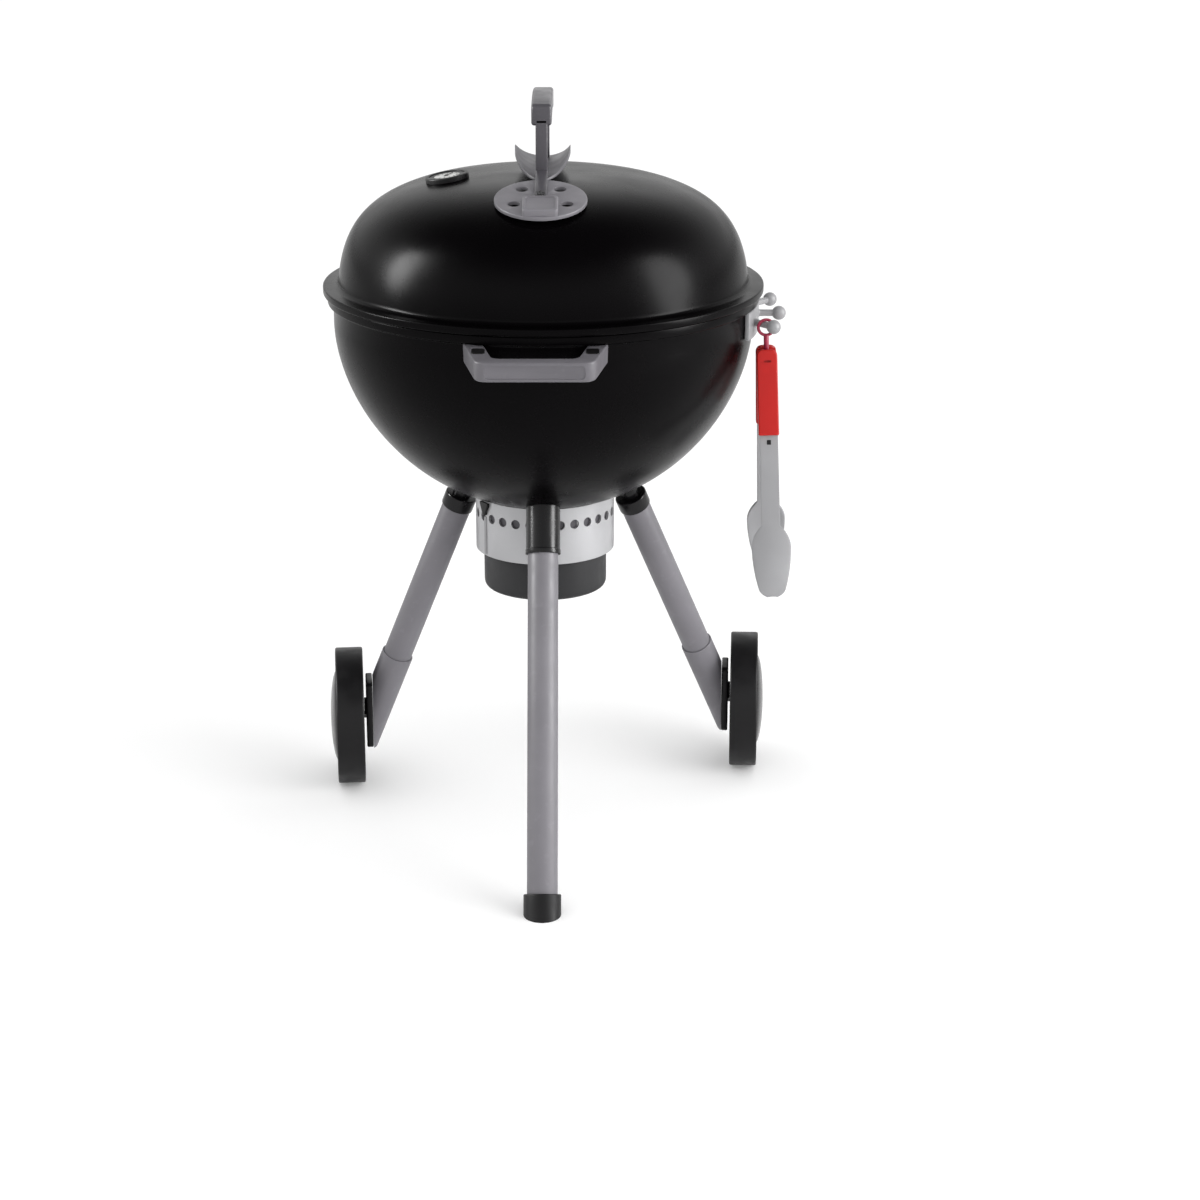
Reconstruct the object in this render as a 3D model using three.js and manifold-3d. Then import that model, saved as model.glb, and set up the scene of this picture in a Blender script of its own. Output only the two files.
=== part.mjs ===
// Toy kettle barbecue grill on a tripod with two wheels, with a pair of tongs on its tool hooks.
// Millimetres, +Z up, the front leg and the bowl's handle towards -Y, the tool hooks towards +X.
// The pieces are worked out about the kettle's upright axis, with the floor at height zero.

import * as THREE from 'three';
import { mergeVertices } from 'three/addons/utils/BufferGeometryUtils.js';
import Module from 'manifold-3d';

const wasm = await Module();
wasm.setup();

// Clearances and counts
const SEAT_GAP = 0.3;
const OVERRUN = 8;
const KETTLE_STEPS = 36;
const DOME_STEPS = 8;
const ROUND_STEPS = 16;
const WHEEL_STEPS = 28;
const SMALL_STEPS = 10;
const SCREW_STEPS = 8;
const CURVE_STEPS = 3;
const ARC_STEPS = 6;
const SEARCH_STEPS = 12;

// Bowl
const BOWL_RADIUS = 169.9;
const BOWL_DEPTH = 155.4;
const BOWL_LEVEL = 435.2;
const BOWL_WALL = 2.4;
const BOWL_RADIAL_POWER = 2.041;
const BOWL_HEIGHT_POWER = 1.805;
const BAND_HEIGHT = 23.3;
const RIM_HEIGHT = 6.5;
const RIM_REACH = 4.6;
const RIM_SLOPE = 1.5;
const RIM_ROUND = 0.6;
const LEDGE_REACH = 6;
const LEDGE_HEIGHT = 2;
const LEDGE_BRACE = 5;

// Cooking grate
const GRATE_CLEARANCE = 1.2;
const GRATE_RING = 5;
const GRATE_HEIGHT = 4;
const GRATE_BAR = 3;
const GRATE_TIE = 2;
const GRATE_PITCH = 25;
const GRATE_CROSS_PLACE = 78;

// Lid
const DOME_INSET = 2.2;
const DOME_HEIGHT = 219.2;
const DOME_CENTRE_DROP = 135.1;
const LID_WALL = 2.2;
const LID_RADIAL_POWER = 2.627;
const LID_HEIGHT_POWER = 6.92;
const FLANGE_OVERHANG = 3.5;
const FLANGE_HEIGHT = 6;
const FLANGE_GROOVE = 1;
const FLANGE_GROOVE_DEPTH = 6.5;
const FLANGE_ROUND = 1;
const FLANGE_FILLET = 4.5;
const SKIRT_DEPTH = 6;
const SKIRT_WALL = 2.2;
const SKIRT_CLEARANCE = 0.8;

// Lid handle
const GRIP_HALF_LENGTH = 48;
const GRIP_WIDTH = 16;
const GRIP_HEIGHT = 17;
const GRIP_CROWN = 3.6;
const GRIP_ROUND = 5;
const GRIP_BEVEL = 2.4;
const GRIP_RISE = 42.2;
const HANDLE_LEG_WIDTH = 9.4;
const HANDLE_LEG_DEPTH = 7.4;
const HANDLE_LEG_SPREAD = 6;
const TONGUE_WIDTH = 9.6;
const TONGUE_THICKNESS = 2.4;

// Heat shield under the grip
const SHIELD_HALF_WIDTH = 22.2;
const SHIELD_HALF_LENGTH = 55;
const SHIELD_BEND_RADIUS = 22.8;
const SHIELD_THICKNESS = 2;
const SHIELD_LIFT = 1.7;
const SHIELD_POST_RADIUS = 4;

// Damper on the lid's front slope
const DAMPER_PLACE = 93.5;
const DAMPER_RADIUS = 36;
const DAMPER_THICKNESS = 3;
const DAMPER_EDGE = 1;
const DAMPER_HOLE_RADIUS = 5;
const DAMPER_HOLE_CIRCLE = 23;
const DAMPER_HOLE_ANGLES = [-118, -40, 40, 118];
const TAB_WIDTH = 27.5;
const TAB_START = 6.6;
const TAB_LENGTH = 27.4;
const TAB_HEIGHT = 5.6;
const TAB_BEVEL = 1.4;
const TAB_ROUND = 2;
const PIVOT_RADIUS = 1.8;
const PIVOT_HEAD_RADIUS = 3.6;
const PIVOT_HEAD_HEIGHT = 1.8;
const PIVOT_NUT_HEIGHT = 3;

// Thermometer on the lid's left shoulder
const DIAL_PLACE = 76.6;
const DIAL_AZIMUTH = -82.5;
const BEZEL_RADIUS = 17.4;
const BEZEL_RIM = 3.2;
const BEZEL_HEIGHT = 3.8;
const BEZEL_ROUND = 1.2;
const DIAL_THICKNESS = 1.4;
const DIAL_RECESS = 0.8;
const DIAL_STEM_RADIUS = 2.4;
const DIAL_STEM_LENGTH = 6.5;
const DIAL_NUT_RADIUS = 5;
const DIAL_NUT_HEIGHT = 3;

// Screws
const SCREW_RADIUS = 1.6;
const SCREW_HEAD_RADIUS = 3.4;
const SCREW_HEAD_HEIGHT = 2;
// Share of a head's height that its shank runs into
const SHANK_SHARE = 0.8;
const SCREW_LENGTH = 14;
const WALL_SCREW_RISE = 3.6;

// Handle on the bowl's front
const BAR_HALF_WIDTH = 44.4;
const BAR_REACH = 35.2;
const BAR_DEPTH = 10.5;
const BAR_HEIGHT = 15.8;
const BAR_BEVEL = 1.6;
const BAR_ROUND = 8;
const BAR_SIDE_SHIFT = -3;
const ARM_HALF_SPREAD = 53;
const ARM_WIDTH = 14.8;
const ARM_ROUND = 6;
const HANDLE_DROOP = 6.5;
const ARM_SCREW_SHARE = 0.58;
const PAD_WIDTH = 9.6;
const PAD_LENGTH = 11.4;
const PAD_DEPTH = 2.4;
const PAD_PROUD = 0.5;
const PAD_PLACE = 9.8;
const PAD_SPREAD = 43.2;

// Tool holder at the bowl's right side
const HOLDER_AZIMUTH = 88.5;
const HOLDER_HALF_ANGLE = 18;
const HOLDER_THICKNESS = 4.4;
const HOLDER_HEIGHT = 22.6;
const HOLDER_SCREW_DEPTH = 3;
const HOOK_DROP = 18.5;
const HOOK_SPREAD = 11.5;
const HOOK_FAN = 50;
const HOOK_SIDE_REACH = 22;
const HOOK_MIDDLE_REACH = 16.4;
const HOOK_RADIUS = 2.7;
const HOOK_KNOB_RADIUS = 5.7;

// Legs
const LEG_CIRCLE = 85.5;
const SOCKET_DROP = 34.5;
const FRONT_LEG_SPLAY = 24.7;
const REAR_LEG_AZIMUTH = 121;
const TUBE_RADIUS = 12.25;
const TUBE_WALL = 1.8;
const SPIGOT_LENGTH = 20;
const REAR_SOCKET_RADIUS = 13.5;
const REAR_SOCKET_LENGTH = 12.6;
const REAR_NECK_RADIUS = 7.8;
const FRONT_SOCKET_RADIUS = 13.7;
const FRONT_SOCKET_FOOT = 7.4;
const FRONT_SOCKET_DEPTH = 20;
const FRONT_SOCKET_LIP = 0.5;
const FRONT_SOCKET_LIP_LENGTH = 4;
const BOLT_RADIUS = 2;
const BOLT_HEAD_RADIUS = 4.5;
const BOLT_HEAD_HEIGHT = 2.6;
const BOLT_LENGTH = 20;
const FOOT_RADIUS = 15;
const FOOT_HEIGHT = 14.5;
const FOOT_TUBE_HEIGHT = 8.6;

// Wheels, their stub axles and the sleeves and plates that hold them on the rear legs
const WHEEL_RADIUS = 60;
const WHEEL_WIDTH = 24;
const WHEEL_HALF_TRACK = 174;
const WHEEL_BACK = 103.5;
const WHEEL_SKEW = 21;
const PAIR_TURN = 1.1;
const WHEEL_TOE = 4.1;
const WHEEL_EDGE = 2;
const WHEEL_RIM = 7.5;
const WHEEL_RECESS = 14;
const WHEEL_HUB_RADIUS = 10;
const WHEEL_PLATE_GAP = 2;
const AXLE_RADIUS = 3;
const AXLE_HEAD_RADIUS = 6;
const AXLE_HEAD_HEIGHT = 2;
const HUB_CAP_RADIUS = 40;
const HUB_CAP_SEAT = 1.6;
const HUB_CAP_BULGE = 4.8;
const HUB_CAP_WALL = 1.6;
const PLATE_THICKNESS = 6;
const PLATE_HEIGHT = 60;
const PLATE_WIDTH = 34;
const PLATE_LIFT = 4;
const BOSS_RADIUS = 7.5;
const SLEEVE_RADIUS = 13.7;
const SLEEVE_RISE = 60.9;
const SLEEVE_GRIP = 27;

// Ash catcher under the bowl
const COLLAR_RADIUS = 57.3;
const COLLAR_WALL = 2;
const COLLAR_DEPTH = 37.8;
const COLLAR_LIP_HEIGHT = 3;
const COLLAR_BOSS_RADIUS = 4;
const COLLAR_BOSS_DROP = 12;
const COLLAR_SCREW_PLACES = [2, 12, 21];
const VENT_COUNT = 29;
const VENT_RADIUS = 3.9;
const VENT_DROP = 4.8;
const VENT_STEPS = 6;
const VENT_PHASE = 1.1;
const LATCH_AZIMUTH = -57;
const LATCH_WIDTH = 12;
const LATCH_TIP_WIDTH = 3;
const LATCH_HEIGHT = 11;
const LATCH_RISE = 8.2;
const LATCH_THICKNESS = 2.2;
const POT_RADIUS = 50.8;
const POT_HEIGHT = 56;
const POT_REACH = 33.7;
const POT_WALL = 1.8;
const POT_ROUND = 6;

// Tongs on the front hook
const RING_RADIUS = 6.2;
const RING_WIRE = 1.1;
const RING_WIRE_STEPS = 6;
const RING_ALONG_HOOK = 13;
const TONGS_LEAN = 1.7;
const TONGS_OPEN = 13;
const STEM_RADIUS = 2.1;
const KNUCKLE_HALF_WIDTH = 2.4;
const KNUCKLE_RADIUS = 3.1;
const KNUCKLE_WIDTH = 2;
const TONGS_PIVOT_DROP = 24;
const PIN_RADIUS = 1.2;
const TONG_ARM_CLEARANCE = 0.4;
const TONG_ARM_WIDTH = 14.6;
const TONG_ARM_THICKNESS = 2.2;
const TONG_ARM_ABOVE = 3.3;
const TONG_GRIP_WIDTH = 16.4;
const TONG_GRIP_THICKNESS = 4.4;
const TONG_GRIP_ABOVE = 4;
const TONG_GRIP_BELOW = 64.4;
const TONG_GRIP_ROUND = 5;
const TONG_GRIP_BEVEL = 1.6;
const SCOOP_START = 137;
const SCOOP_WIDEST = 154;
const SCOOP_TIP = 193;
const SCOOP_WIDTH = 30.5;
const SCOOP_TIP_WIDTH = 17.6;
const SCOOP_FLANK_SHARE = 0.5;
const SCOOP_FLANK_WIDTH_SHARE = 0.98;

// Sizes that follow
const BOWL_POWERS = [BOWL_RADIAL_POWER, BOWL_HEIGHT_POWER];
const LID_POWERS = [LID_RADIAL_POWER, LID_HEIGHT_POWER];
const BOWL_BOTTOM = BOWL_LEVEL - BOWL_DEPTH;
const BOWL_INSIDE = BOWL_RADIUS - BOWL_WALL;
const RIM_TOP = BOWL_LEVEL + BAND_HEIGHT;
const RIM_UNDERSIDE = RIM_TOP - RIM_HEIGHT;
const HANDLE_TOP = RIM_UNDERSIDE - RIM_SLOPE;
const FLANGE_BOTTOM = RIM_TOP + FLANGE_GROOVE;
const FLANGE_TOP = FLANGE_BOTTOM + FLANGE_HEIGHT;
const DOME_RADIUS = BOWL_RADIUS - DOME_INSET;
const DOME_FOOT = FLANGE_TOP + FLANGE_FILLET;
const DOME_CENTRE = DOME_FOOT - DOME_CENTRE_DROP;
const DOME_TOP = DOME_CENTRE + DOME_HEIGHT;
const SHIELD_BOTTOM = DOME_TOP + SHIELD_LIFT;
const GRIP_BOTTOM = SHIELD_BOTTOM + GRIP_RISE;
const HANDLE_LEG_PLACE = GRIP_HALF_LENGTH - HANDLE_LEG_DEPTH / 2;
const TONGUE_BOTTOM = DAMPER_THICKNESS + 2 * SEAT_GAP;
const TONGUE_TOP = TONGUE_BOTTOM + TONGUE_THICKNESS;
const HOOK_HEIGHT = RIM_TOP - HOOK_DROP;
const COLLAR_INSIDE = COLLAR_RADIUS - COLLAR_WALL;
const COLLAR_BOTTOM = BOWL_BOTTOM - COLLAR_DEPTH;
const COLLAR_BOSS_PLACE = COLLAR_RADIUS - COLLAR_WALL / 2 - COLLAR_BOSS_RADIUS;
const VENT_HEIGHT = BOWL_BOTTOM - VENT_DROP;
const POT_BOTTOM = COLLAR_BOTTOM - POT_REACH;
const POT_SLEEVE = POT_RADIUS + SEAT_GAP;
const TUBE_SOCKET = TUBE_RADIUS + SEAT_GAP;
const WHEEL_CENTRE_HEIGHT = WHEEL_RADIUS * Math.cos(Math.PI / WHEEL_STEPS);
const PLATE_OUTSIDE = WHEEL_WIDTH / 2 + WHEEL_PLATE_GAP;
const PLATE_INSIDE = PLATE_OUTSIDE + PLATE_THICKNESS;
const RING_INSIDE = RING_RADIUS - RING_WIRE;
const TONG_ARM_INSIDE = KNUCKLE_RADIUS + TONG_ARM_CLEARANCE;
const TONG_ARM_OUTSIDE = TONG_ARM_INSIDE + TONG_ARM_THICKNESS;

// Colour and surface of each kind of piece
const FINISHES = {
  enamel: { color: 0x1b1a1c, roughness: 0.22, metalness: 0 },
  greyPlastic: { color: 0x7d7b82, roughness: 0.45, metalness: 0 },
  darkPlastic: { color: 0x3c3c3e, roughness: 0.5, metalness: 0 },
  blackPlastic: { color: 0x1c1b1d, roughness: 0.4, metalness: 0 },
  lightPlastic: { color: 0xa7a7a9, roughness: 0.45, metalness: 0 },
  dialFace: { color: 0xe6e6e4, roughness: 0.3, metalness: 0 },
  redPlastic: { color: 0xb8202a, roughness: 0.35, metalness: 0 },
  wineRed: { color: 0x7a2440, roughness: 0.35, metalness: 0 },
  steel: { color: 0xb4b6b8, roughness: 0.3, metalness: 1 },
};

const SIDES = [['left', -1], ['right', 1]];
const ENDS = [['front', -1], ['rear', 1]];
const grill = new THREE.Group();
const { degToRad: radians, radToDeg: degrees } = THREE.MathUtils;

// Closed solids

function signedVolume(points, faces) {
  const corners = [new THREE.Vector3(), new THREE.Vector3(), new THREE.Vector3()];
  let volume = 0;
  for (let face = 0; face < faces.length; face += corners.length) {
    corners.forEach((corner, index) => corner.fromBufferAttribute(points, faces[face + index]));
    volume += corners[0].dot(corners[1].cross(corners[2]));
  }
  return volume;
}

// The solid inside a geometry whose vertices are shared, with its faces turned out
function closedBody(geometry) {
  const points = geometry.attributes.position;
  const faces = [];
  for (let face = 0; face < geometry.index.count; face += 3) {
    const [a, b, c] = [0, 1, 2].map((corner) => geometry.index.getX(face + corner));
    if (a !== b && b !== c && c !== a) faces.push(a, b, c);
  }
  if (signedVolume(points, faces) < 0) faces.reverse();
  return new wasm.Manifold(new wasm.Mesh({
    numProp: 3,
    vertProperties: new Float32Array(points.array),
    triVerts: new Uint32Array(faces),
  }));
}

function solid(geometry) {
  const bare = geometry.clone();
  bare.deleteAttribute('normal');
  bare.deleteAttribute('uv');
  return closedBody(mergeVertices(bare));
}

function geometryOf(body) {
  const mesh = body.getMesh();
  const geometry = new THREE.BufferGeometry();
  geometry.setAttribute('position', new THREE.BufferAttribute(mesh.vertProperties, mesh.numProp));
  geometry.setIndex(new THREE.BufferAttribute(mesh.triVerts, 1));
  return geometry;
}

function moved(body, matrix) {
  return closedBody(geometryOf(body).applyMatrix4(matrix));
}

function joined(bodies) {
  return bodies.reduce((whole, body) => whole.add(body));
}

function cut(body, cutters) {
  return cutters.reduce((rest, cutter) => rest.subtract(cutter), body);
}

// Frames: a group turned about the upright axis and then tilted about its own X

function placedGroup(parent, position, turn, tilt) {
  const group = new THREE.Group();
  group.position.copy(position);
  group.rotation.order = 'ZYX';
  group.rotation.z = radians(turn);
  group.rotation.x = radians(tilt);
  parent.add(group);
  group.updateWorldMatrix(true, false);
  return group;
}

// Takes a solid from the kettle's frame into a group's own frame
function into(group, body) {
  return moved(body, group.matrixWorld.clone().invert());
}

// Takes a solid from a group's own frame into the kettle's
function outOf(group, body) {
  return moved(body, group.matrixWorld);
}

// Adds a solid that is worked out in the group's own frame as one named piece
function addPiece(group, name, finish, body) {
  const geometry = geometryOf(body);
  geometry.computeVertexNormals();
  const mesh = new THREE.Mesh(geometry, new THREE.MeshStandardMaterial(FINISHES[finish]));
  mesh.name = name;
  group.add(mesh);
}

// Basic forms, all about or along +Z

function turnedForm(profile, steps, start = 0) {
  const points = profile.map(([radius, height]) => new THREE.Vector2(radius, height));
  return solid(new THREE.LatheGeometry(points, steps, start).rotateX(Math.PI / 2));
}

function rod(radius, from, to, steps = ROUND_STEPS) {
  return turnedForm([[0, from], [radius, from], [radius, to], [0, to]], steps);
}

function pipe(outside, inside, from, to, steps = ROUND_STEPS) {
  const profile = [[inside, from], [outside, from], [outside, to], [inside, to], [inside, from]];
  return turnedForm(profile, steps);
}

function block(x, y, z) {
  const [width, depth, height] = [x, y, z].map(([low, high]) => high - low);
  const [middleX, middleY, middleZ] = [x, y, z].map(([low, high]) => (low + high) / 2);
  return solid(new THREE.BoxGeometry(width, depth, height).translate(middleX, middleY, middleZ));
}

function extruded(shape, from, to, curveSegments = CURVE_STEPS) {
  const options = { depth: to - from, bevelEnabled: false, curveSegments };
  return solid(new THREE.ExtrudeGeometry(shape, options).translate(0, 0, from));
}

// An extrusion whose long edges are bevelled inside its outline and its depth
function bevelled(shape, from, to, bevel) {
  const options = {
    depth: to - from - 2 * bevel,
    bevelEnabled: true,
    bevelSize: bevel,
    bevelOffset: -bevel,
    bevelThickness: bevel,
    bevelSegments: 2,
    curveSegments: CURVE_STEPS,
  };
  return solid(new THREE.ExtrudeGeometry(shape, options).translate(0, 0, from + bevel));
}

function polygon(points) {
  return new THREE.Shape(points.map(([x, y]) => new THREE.Vector2(x, y)));
}

function roundedRectangle(halfWidth, halfHeight, round) {
  const shape = new THREE.Shape();
  shape.moveTo(-halfWidth + round, -halfHeight);
  shape.lineTo(halfWidth - round, -halfHeight);
  shape.quadraticCurveTo(halfWidth, -halfHeight, halfWidth, -halfHeight + round);
  shape.lineTo(halfWidth, halfHeight - round);
  shape.quadraticCurveTo(halfWidth, halfHeight, halfWidth - round, halfHeight);
  shape.lineTo(-halfWidth + round, halfHeight);
  shape.quadraticCurveTo(-halfWidth, halfHeight, -halfWidth, halfHeight - round);
  shape.lineTo(-halfWidth, -halfHeight + round);
  shape.quadraticCurveTo(-halfWidth, -halfHeight, -halfWidth + round, -halfHeight);
  return shape;
}

function shifted(x, y, z) {
  return new THREE.Matrix4().makeTranslation(x, y, z);
}

function turnedAboutZ(angle) {
  return new THREE.Matrix4().makeRotationZ(radians(angle));
}

// Turns +Z to -Y, and an outline's height from +Y to +Z
const TO_FRONT = new THREE.Matrix4().makeRotationX(Math.PI / 2);
// Turns +Z to +X
const TO_RIGHT = new THREE.Matrix4().makeRotationY(Math.PI / 2);
// Turns +Z down
const TO_FLOOR = new THREE.Matrix4().makeRotationX(Math.PI);
// Turns +Z to +X and an outline's X to +Y, its height to +Z
const UPRIGHT = new THREE.Matrix4().makeBasis(
  new THREE.Vector3(0, 1, 0),
  new THREE.Vector3(0, 0, 1),
  new THREE.Vector3(1, 0, 0),
);

// Turns +Z outwards from the upright axis at an azimuth and a height
function outward(azimuth, height) {
  return shifted(0, 0, height).multiply(turnedAboutZ(azimuth)).multiply(TO_FRONT);
}

// Turns +Z to a wheel's outer side
function outboard(side) {
  return new THREE.Matrix4().makeScale(side, 1, 1).multiply(TO_RIGHT);
}

// Mirrors a form from the front to the rear where the side asks for it
function towards(side) {
  return new THREE.Matrix4().makeScale(1, -side, 1);
}

// The kettle's two curved walls

function superellipse(radius, height, powers, turn) {
  return [radius * Math.cos(turn) ** (2 / powers[0]), height * Math.sin(turn) ** (2 / powers[1])];
}

// The bowl's wall from its lowest point out to its widest level, drawn in by an inset
function bowlCurve(inset) {
  return Array.from({ length: DOME_STEPS + 1 }, (_, step) => {
    const turn = (Math.PI / 2) * (1 - step / DOME_STEPS);
    const [radius, drop] = superellipse(BOWL_RADIUS - inset, BOWL_DEPTH - inset, BOWL_POWERS, turn);
    return [step === 0 ? 0 : radius, BOWL_LEVEL - drop];
  });
}

// The lid's wall from its foot up to its crown, drawn in by an inset
function domeCurve(inset) {
  const height = DOME_HEIGHT - inset;
  const start = Math.asin((DOME_CENTRE_DROP / height) ** (LID_HEIGHT_POWER / 2));
  return Array.from({ length: DOME_STEPS + 1 }, (_, step) => {
    const turn = start + (Math.PI / 2 - start) * (step / DOME_STEPS);
    const [radius, rise] = superellipse(DOME_RADIUS - inset, height, LID_POWERS, turn);
    return [step === DOME_STEPS ? 0 : radius, DOME_CENTRE + rise];
  });
}

// Height of the bowl's outside at a distance from the axis
function bowlHeight(radius) {
  const share = 1 - (radius / BOWL_RADIUS) ** BOWL_RADIAL_POWER;
  return BOWL_LEVEL - BOWL_DEPTH * share ** (1 / BOWL_HEIGHT_POWER);
}

// Height of the lid's outside at a distance from the axis
function domeHeight(radius) {
  const share = 1 - (radius / DOME_RADIUS) ** LID_RADIAL_POWER;
  return DOME_CENTRE + DOME_HEIGHT * share ** (1 / LID_HEIGHT_POWER);
}

// How far the lid slopes down there, in degrees
function domeSlope(radius) {
  const step = radius / KETTLE_STEPS;
  return degrees(Math.atan2(domeHeight(radius - step) - domeHeight(radius + step), 2 * step));
}

// The bowl's outline from its underside to its rim, moved out by a gap
function bowlOutline(gap) {
  const lip = BOWL_RADIUS + RIM_REACH + gap;
  return [
    ...bowlCurve(-gap),
    [BOWL_RADIUS + gap, HANDLE_TOP - gap],
    [lip, RIM_UNDERSIDE - gap],
    [lip, RIM_TOP - RIM_ROUND],
    [lip - RIM_ROUND, RIM_TOP],
  ];
}

// What a piece outside a wall is cut by, and what a screw head inside it has to fit in
const bowlOutside = turnedForm([...bowlOutline(SEAT_GAP), [0, RIM_TOP]], KETTLE_STEPS);
const lidOutside = turnedForm([[0, DOME_FOOT], ...domeCurve(-SEAT_GAP)], KETTLE_STEPS);
const lidInside = turnedForm([[0, DOME_FOOT], ...domeCurve(LID_WALL + SEAT_GAP)], KETTLE_STEPS);
const bowlInside = turnedForm([
  ...bowlCurve(BOWL_WALL + SEAT_GAP),
  [BOWL_INSIDE - SEAT_GAP, RIM_TOP],
  [0, RIM_TOP],
], KETTLE_STEPS);

// Screws run along +Z from a head that lies against the inner side of a wall

const SCREW = { radius: SCREW_RADIUS, headRadius: SCREW_HEAD_RADIUS, headHeight: SCREW_HEAD_HEIGHT };
const BOLT = { radius: BOLT_RADIUS, headRadius: BOLT_HEAD_RADIUS, headHeight: BOLT_HEAD_HEIGHT };

function placedScrew(matrix, length, inside, { radius, headRadius, headHeight } = SCREW) {
  const head = moved(rod(headRadius, -headHeight, OVERRUN, SCREW_STEPS), matrix).intersect(inside);
  const shank = moved(rod(radius, -headHeight * SHANK_SHARE, length, SCREW_STEPS), matrix);
  const hole = moved(rod(radius + SEAT_GAP, -OVERRUN, length + SEAT_GAP, SCREW_STEPS), matrix);
  return { form: head.add(shank), hole };
}

// Screws through the bowl's upright wall
function wallScrew(azimuth, length) {
  const matrix = outward(azimuth, HOOK_HEIGHT + WALL_SCREW_RISE).multiply(shifted(0, 0, BOWL_INSIDE));
  return placedScrew(matrix, length, bowlInside);
}

// Where round the bowl the screw of a handle's arm stands
function armAzimuth(side) {
  const place = BAR_SIDE_SHIFT + side * (ARM_HALF_SPREAD - ARM_WIDTH * ARM_SCREW_SHARE);
  return degrees(Math.asin(place / BOWL_RADIUS));
}

// Frames of the legs: each at the middle of its socket, with the leg running down along -Z

function socketPlace(azimuth) {
  const place = new THREE.Vector3(0, -LEG_CIRCLE, bowlHeight(LEG_CIRCLE) - SOCKET_DROP);
  return place.applyAxisAngle(new THREE.Vector3(0, 0, 1), radians(azimuth));
}

// Distance up a leg's line from its socket to the bowl's outer face
function legToBowl(frame) {
  const point = new THREE.Vector3();
  let rise = SOCKET_DROP;
  for (let step = 0; step < SEARCH_STEPS; step += 1) {
    point.set(0, 0, rise).applyMatrix4(frame.matrixWorld);
    rise += bowlHeight(Math.hypot(point.x, point.y)) - point.z;
  }
  return rise;
}

// Distance down a leg's line from its socket to a height above the floor
function legDown(frame, height) {
  return (frame.position.z - height) / Math.cos(frame.rotation.x);
}

function legBolt(frame) {
  const place = shifted(0, 0, legToBowl(frame) + BOWL_WALL).multiply(TO_FLOOR);
  return placedScrew(frame.matrixWorld.clone().multiply(place), BOLT_LENGTH, bowlInside, BOLT);
}

// The wheels stand at either side, skewed and turned a little as the pair is set
function wheelFrame(side) {
  const back = WHEEL_BACK + side * WHEEL_SKEW;
  const place = new THREE.Vector3(side * WHEEL_HALF_TRACK, back, WHEEL_CENTRE_HEIGHT);
  return placedGroup(grill, place, PAIR_TURN - side * WHEEL_TOE, 0);
}

// A rear leg's line runs from its socket to where the axle meets the inside of its plate
function rearLegFrame(side, wheel) {
  const socket = socketPlace(side * REAR_LEG_AZIMUTH);
  const aim = new THREE.Vector3(-side * PLATE_INSIDE, 0, 0).applyMatrix4(wheel.matrixWorld);
  const run = aim.sub(socket);
  const heading = degrees(Math.atan2(run.x, -run.y));
  return placedGroup(grill, socket, heading, -degrees(Math.atan2(Math.hypot(run.x, run.y), -run.z)));
}

const wheelFrames = SIDES.map(([, side]) => wheelFrame(side));
const rearLegs = SIDES.map(([, side], index) => rearLegFrame(side, wheelFrames[index]));
const frontLeg = placedGroup(grill, socketPlace(0), 0, -FRONT_LEG_SPLAY);

// Every screw that goes through the bowl, by name
const screws = { front_leg_bolt: legBolt(frontLeg) };
SIDES.forEach(([name, side], index) => {
  screws[`rear_${name}_leg_bolt`] = legBolt(rearLegs[index]);
  screws[`bowl_handle_screw_${name}`] = wallScrew(armAzimuth(side), SCREW_LENGTH);
});
ENDS.forEach(([name, side]) => {
  const azimuth = HOLDER_AZIMUTH + side * (HOOK_SPREAD / 2);
  screws[`tool_holder_screw_${name}`] = wallScrew(azimuth, BOWL_WALL + HOLDER_SCREW_DEPTH);
});
COLLAR_SCREW_PLACES.forEach((place, index) => {
  const turn = turnedAboutZ(VENT_PHASE + (360 / VENT_COUNT) * (place + 1 / 2));
  const head = shifted(0, -COLLAR_BOSS_PLACE, bowlHeight(COLLAR_BOSS_PLACE) + BOWL_WALL);
  const matrix = turn.multiply(head).multiply(TO_FLOOR);
  screws[`ash_collar_screw_${index + 1}`] = placedScrew(matrix, SCREW_LENGTH, bowlInside);
});

function addScrew(name) {
  addPiece(grill, name, 'steel', screws[name].form);
}

// Bowl with its rim and the ledge that the grate lies on

function bowlShell() {
  const profile = [
    ...bowlOutline(0),
    [BOWL_INSIDE, RIM_TOP],
    [BOWL_INSIDE, BOWL_LEVEL],
    [BOWL_INSIDE - LEDGE_REACH, BOWL_LEVEL],
    [BOWL_INSIDE - LEDGE_REACH, BOWL_LEVEL - LEDGE_HEIGHT],
    [BOWL_INSIDE, BOWL_LEVEL - LEDGE_HEIGHT - LEDGE_BRACE],
    ...bowlCurve(BOWL_WALL).slice(0, -1).toReversed(),
  ];
  return cut(turnedForm(profile, KETTLE_STEPS), Object.values(screws).map(({ hole }) => hole));
}

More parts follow.
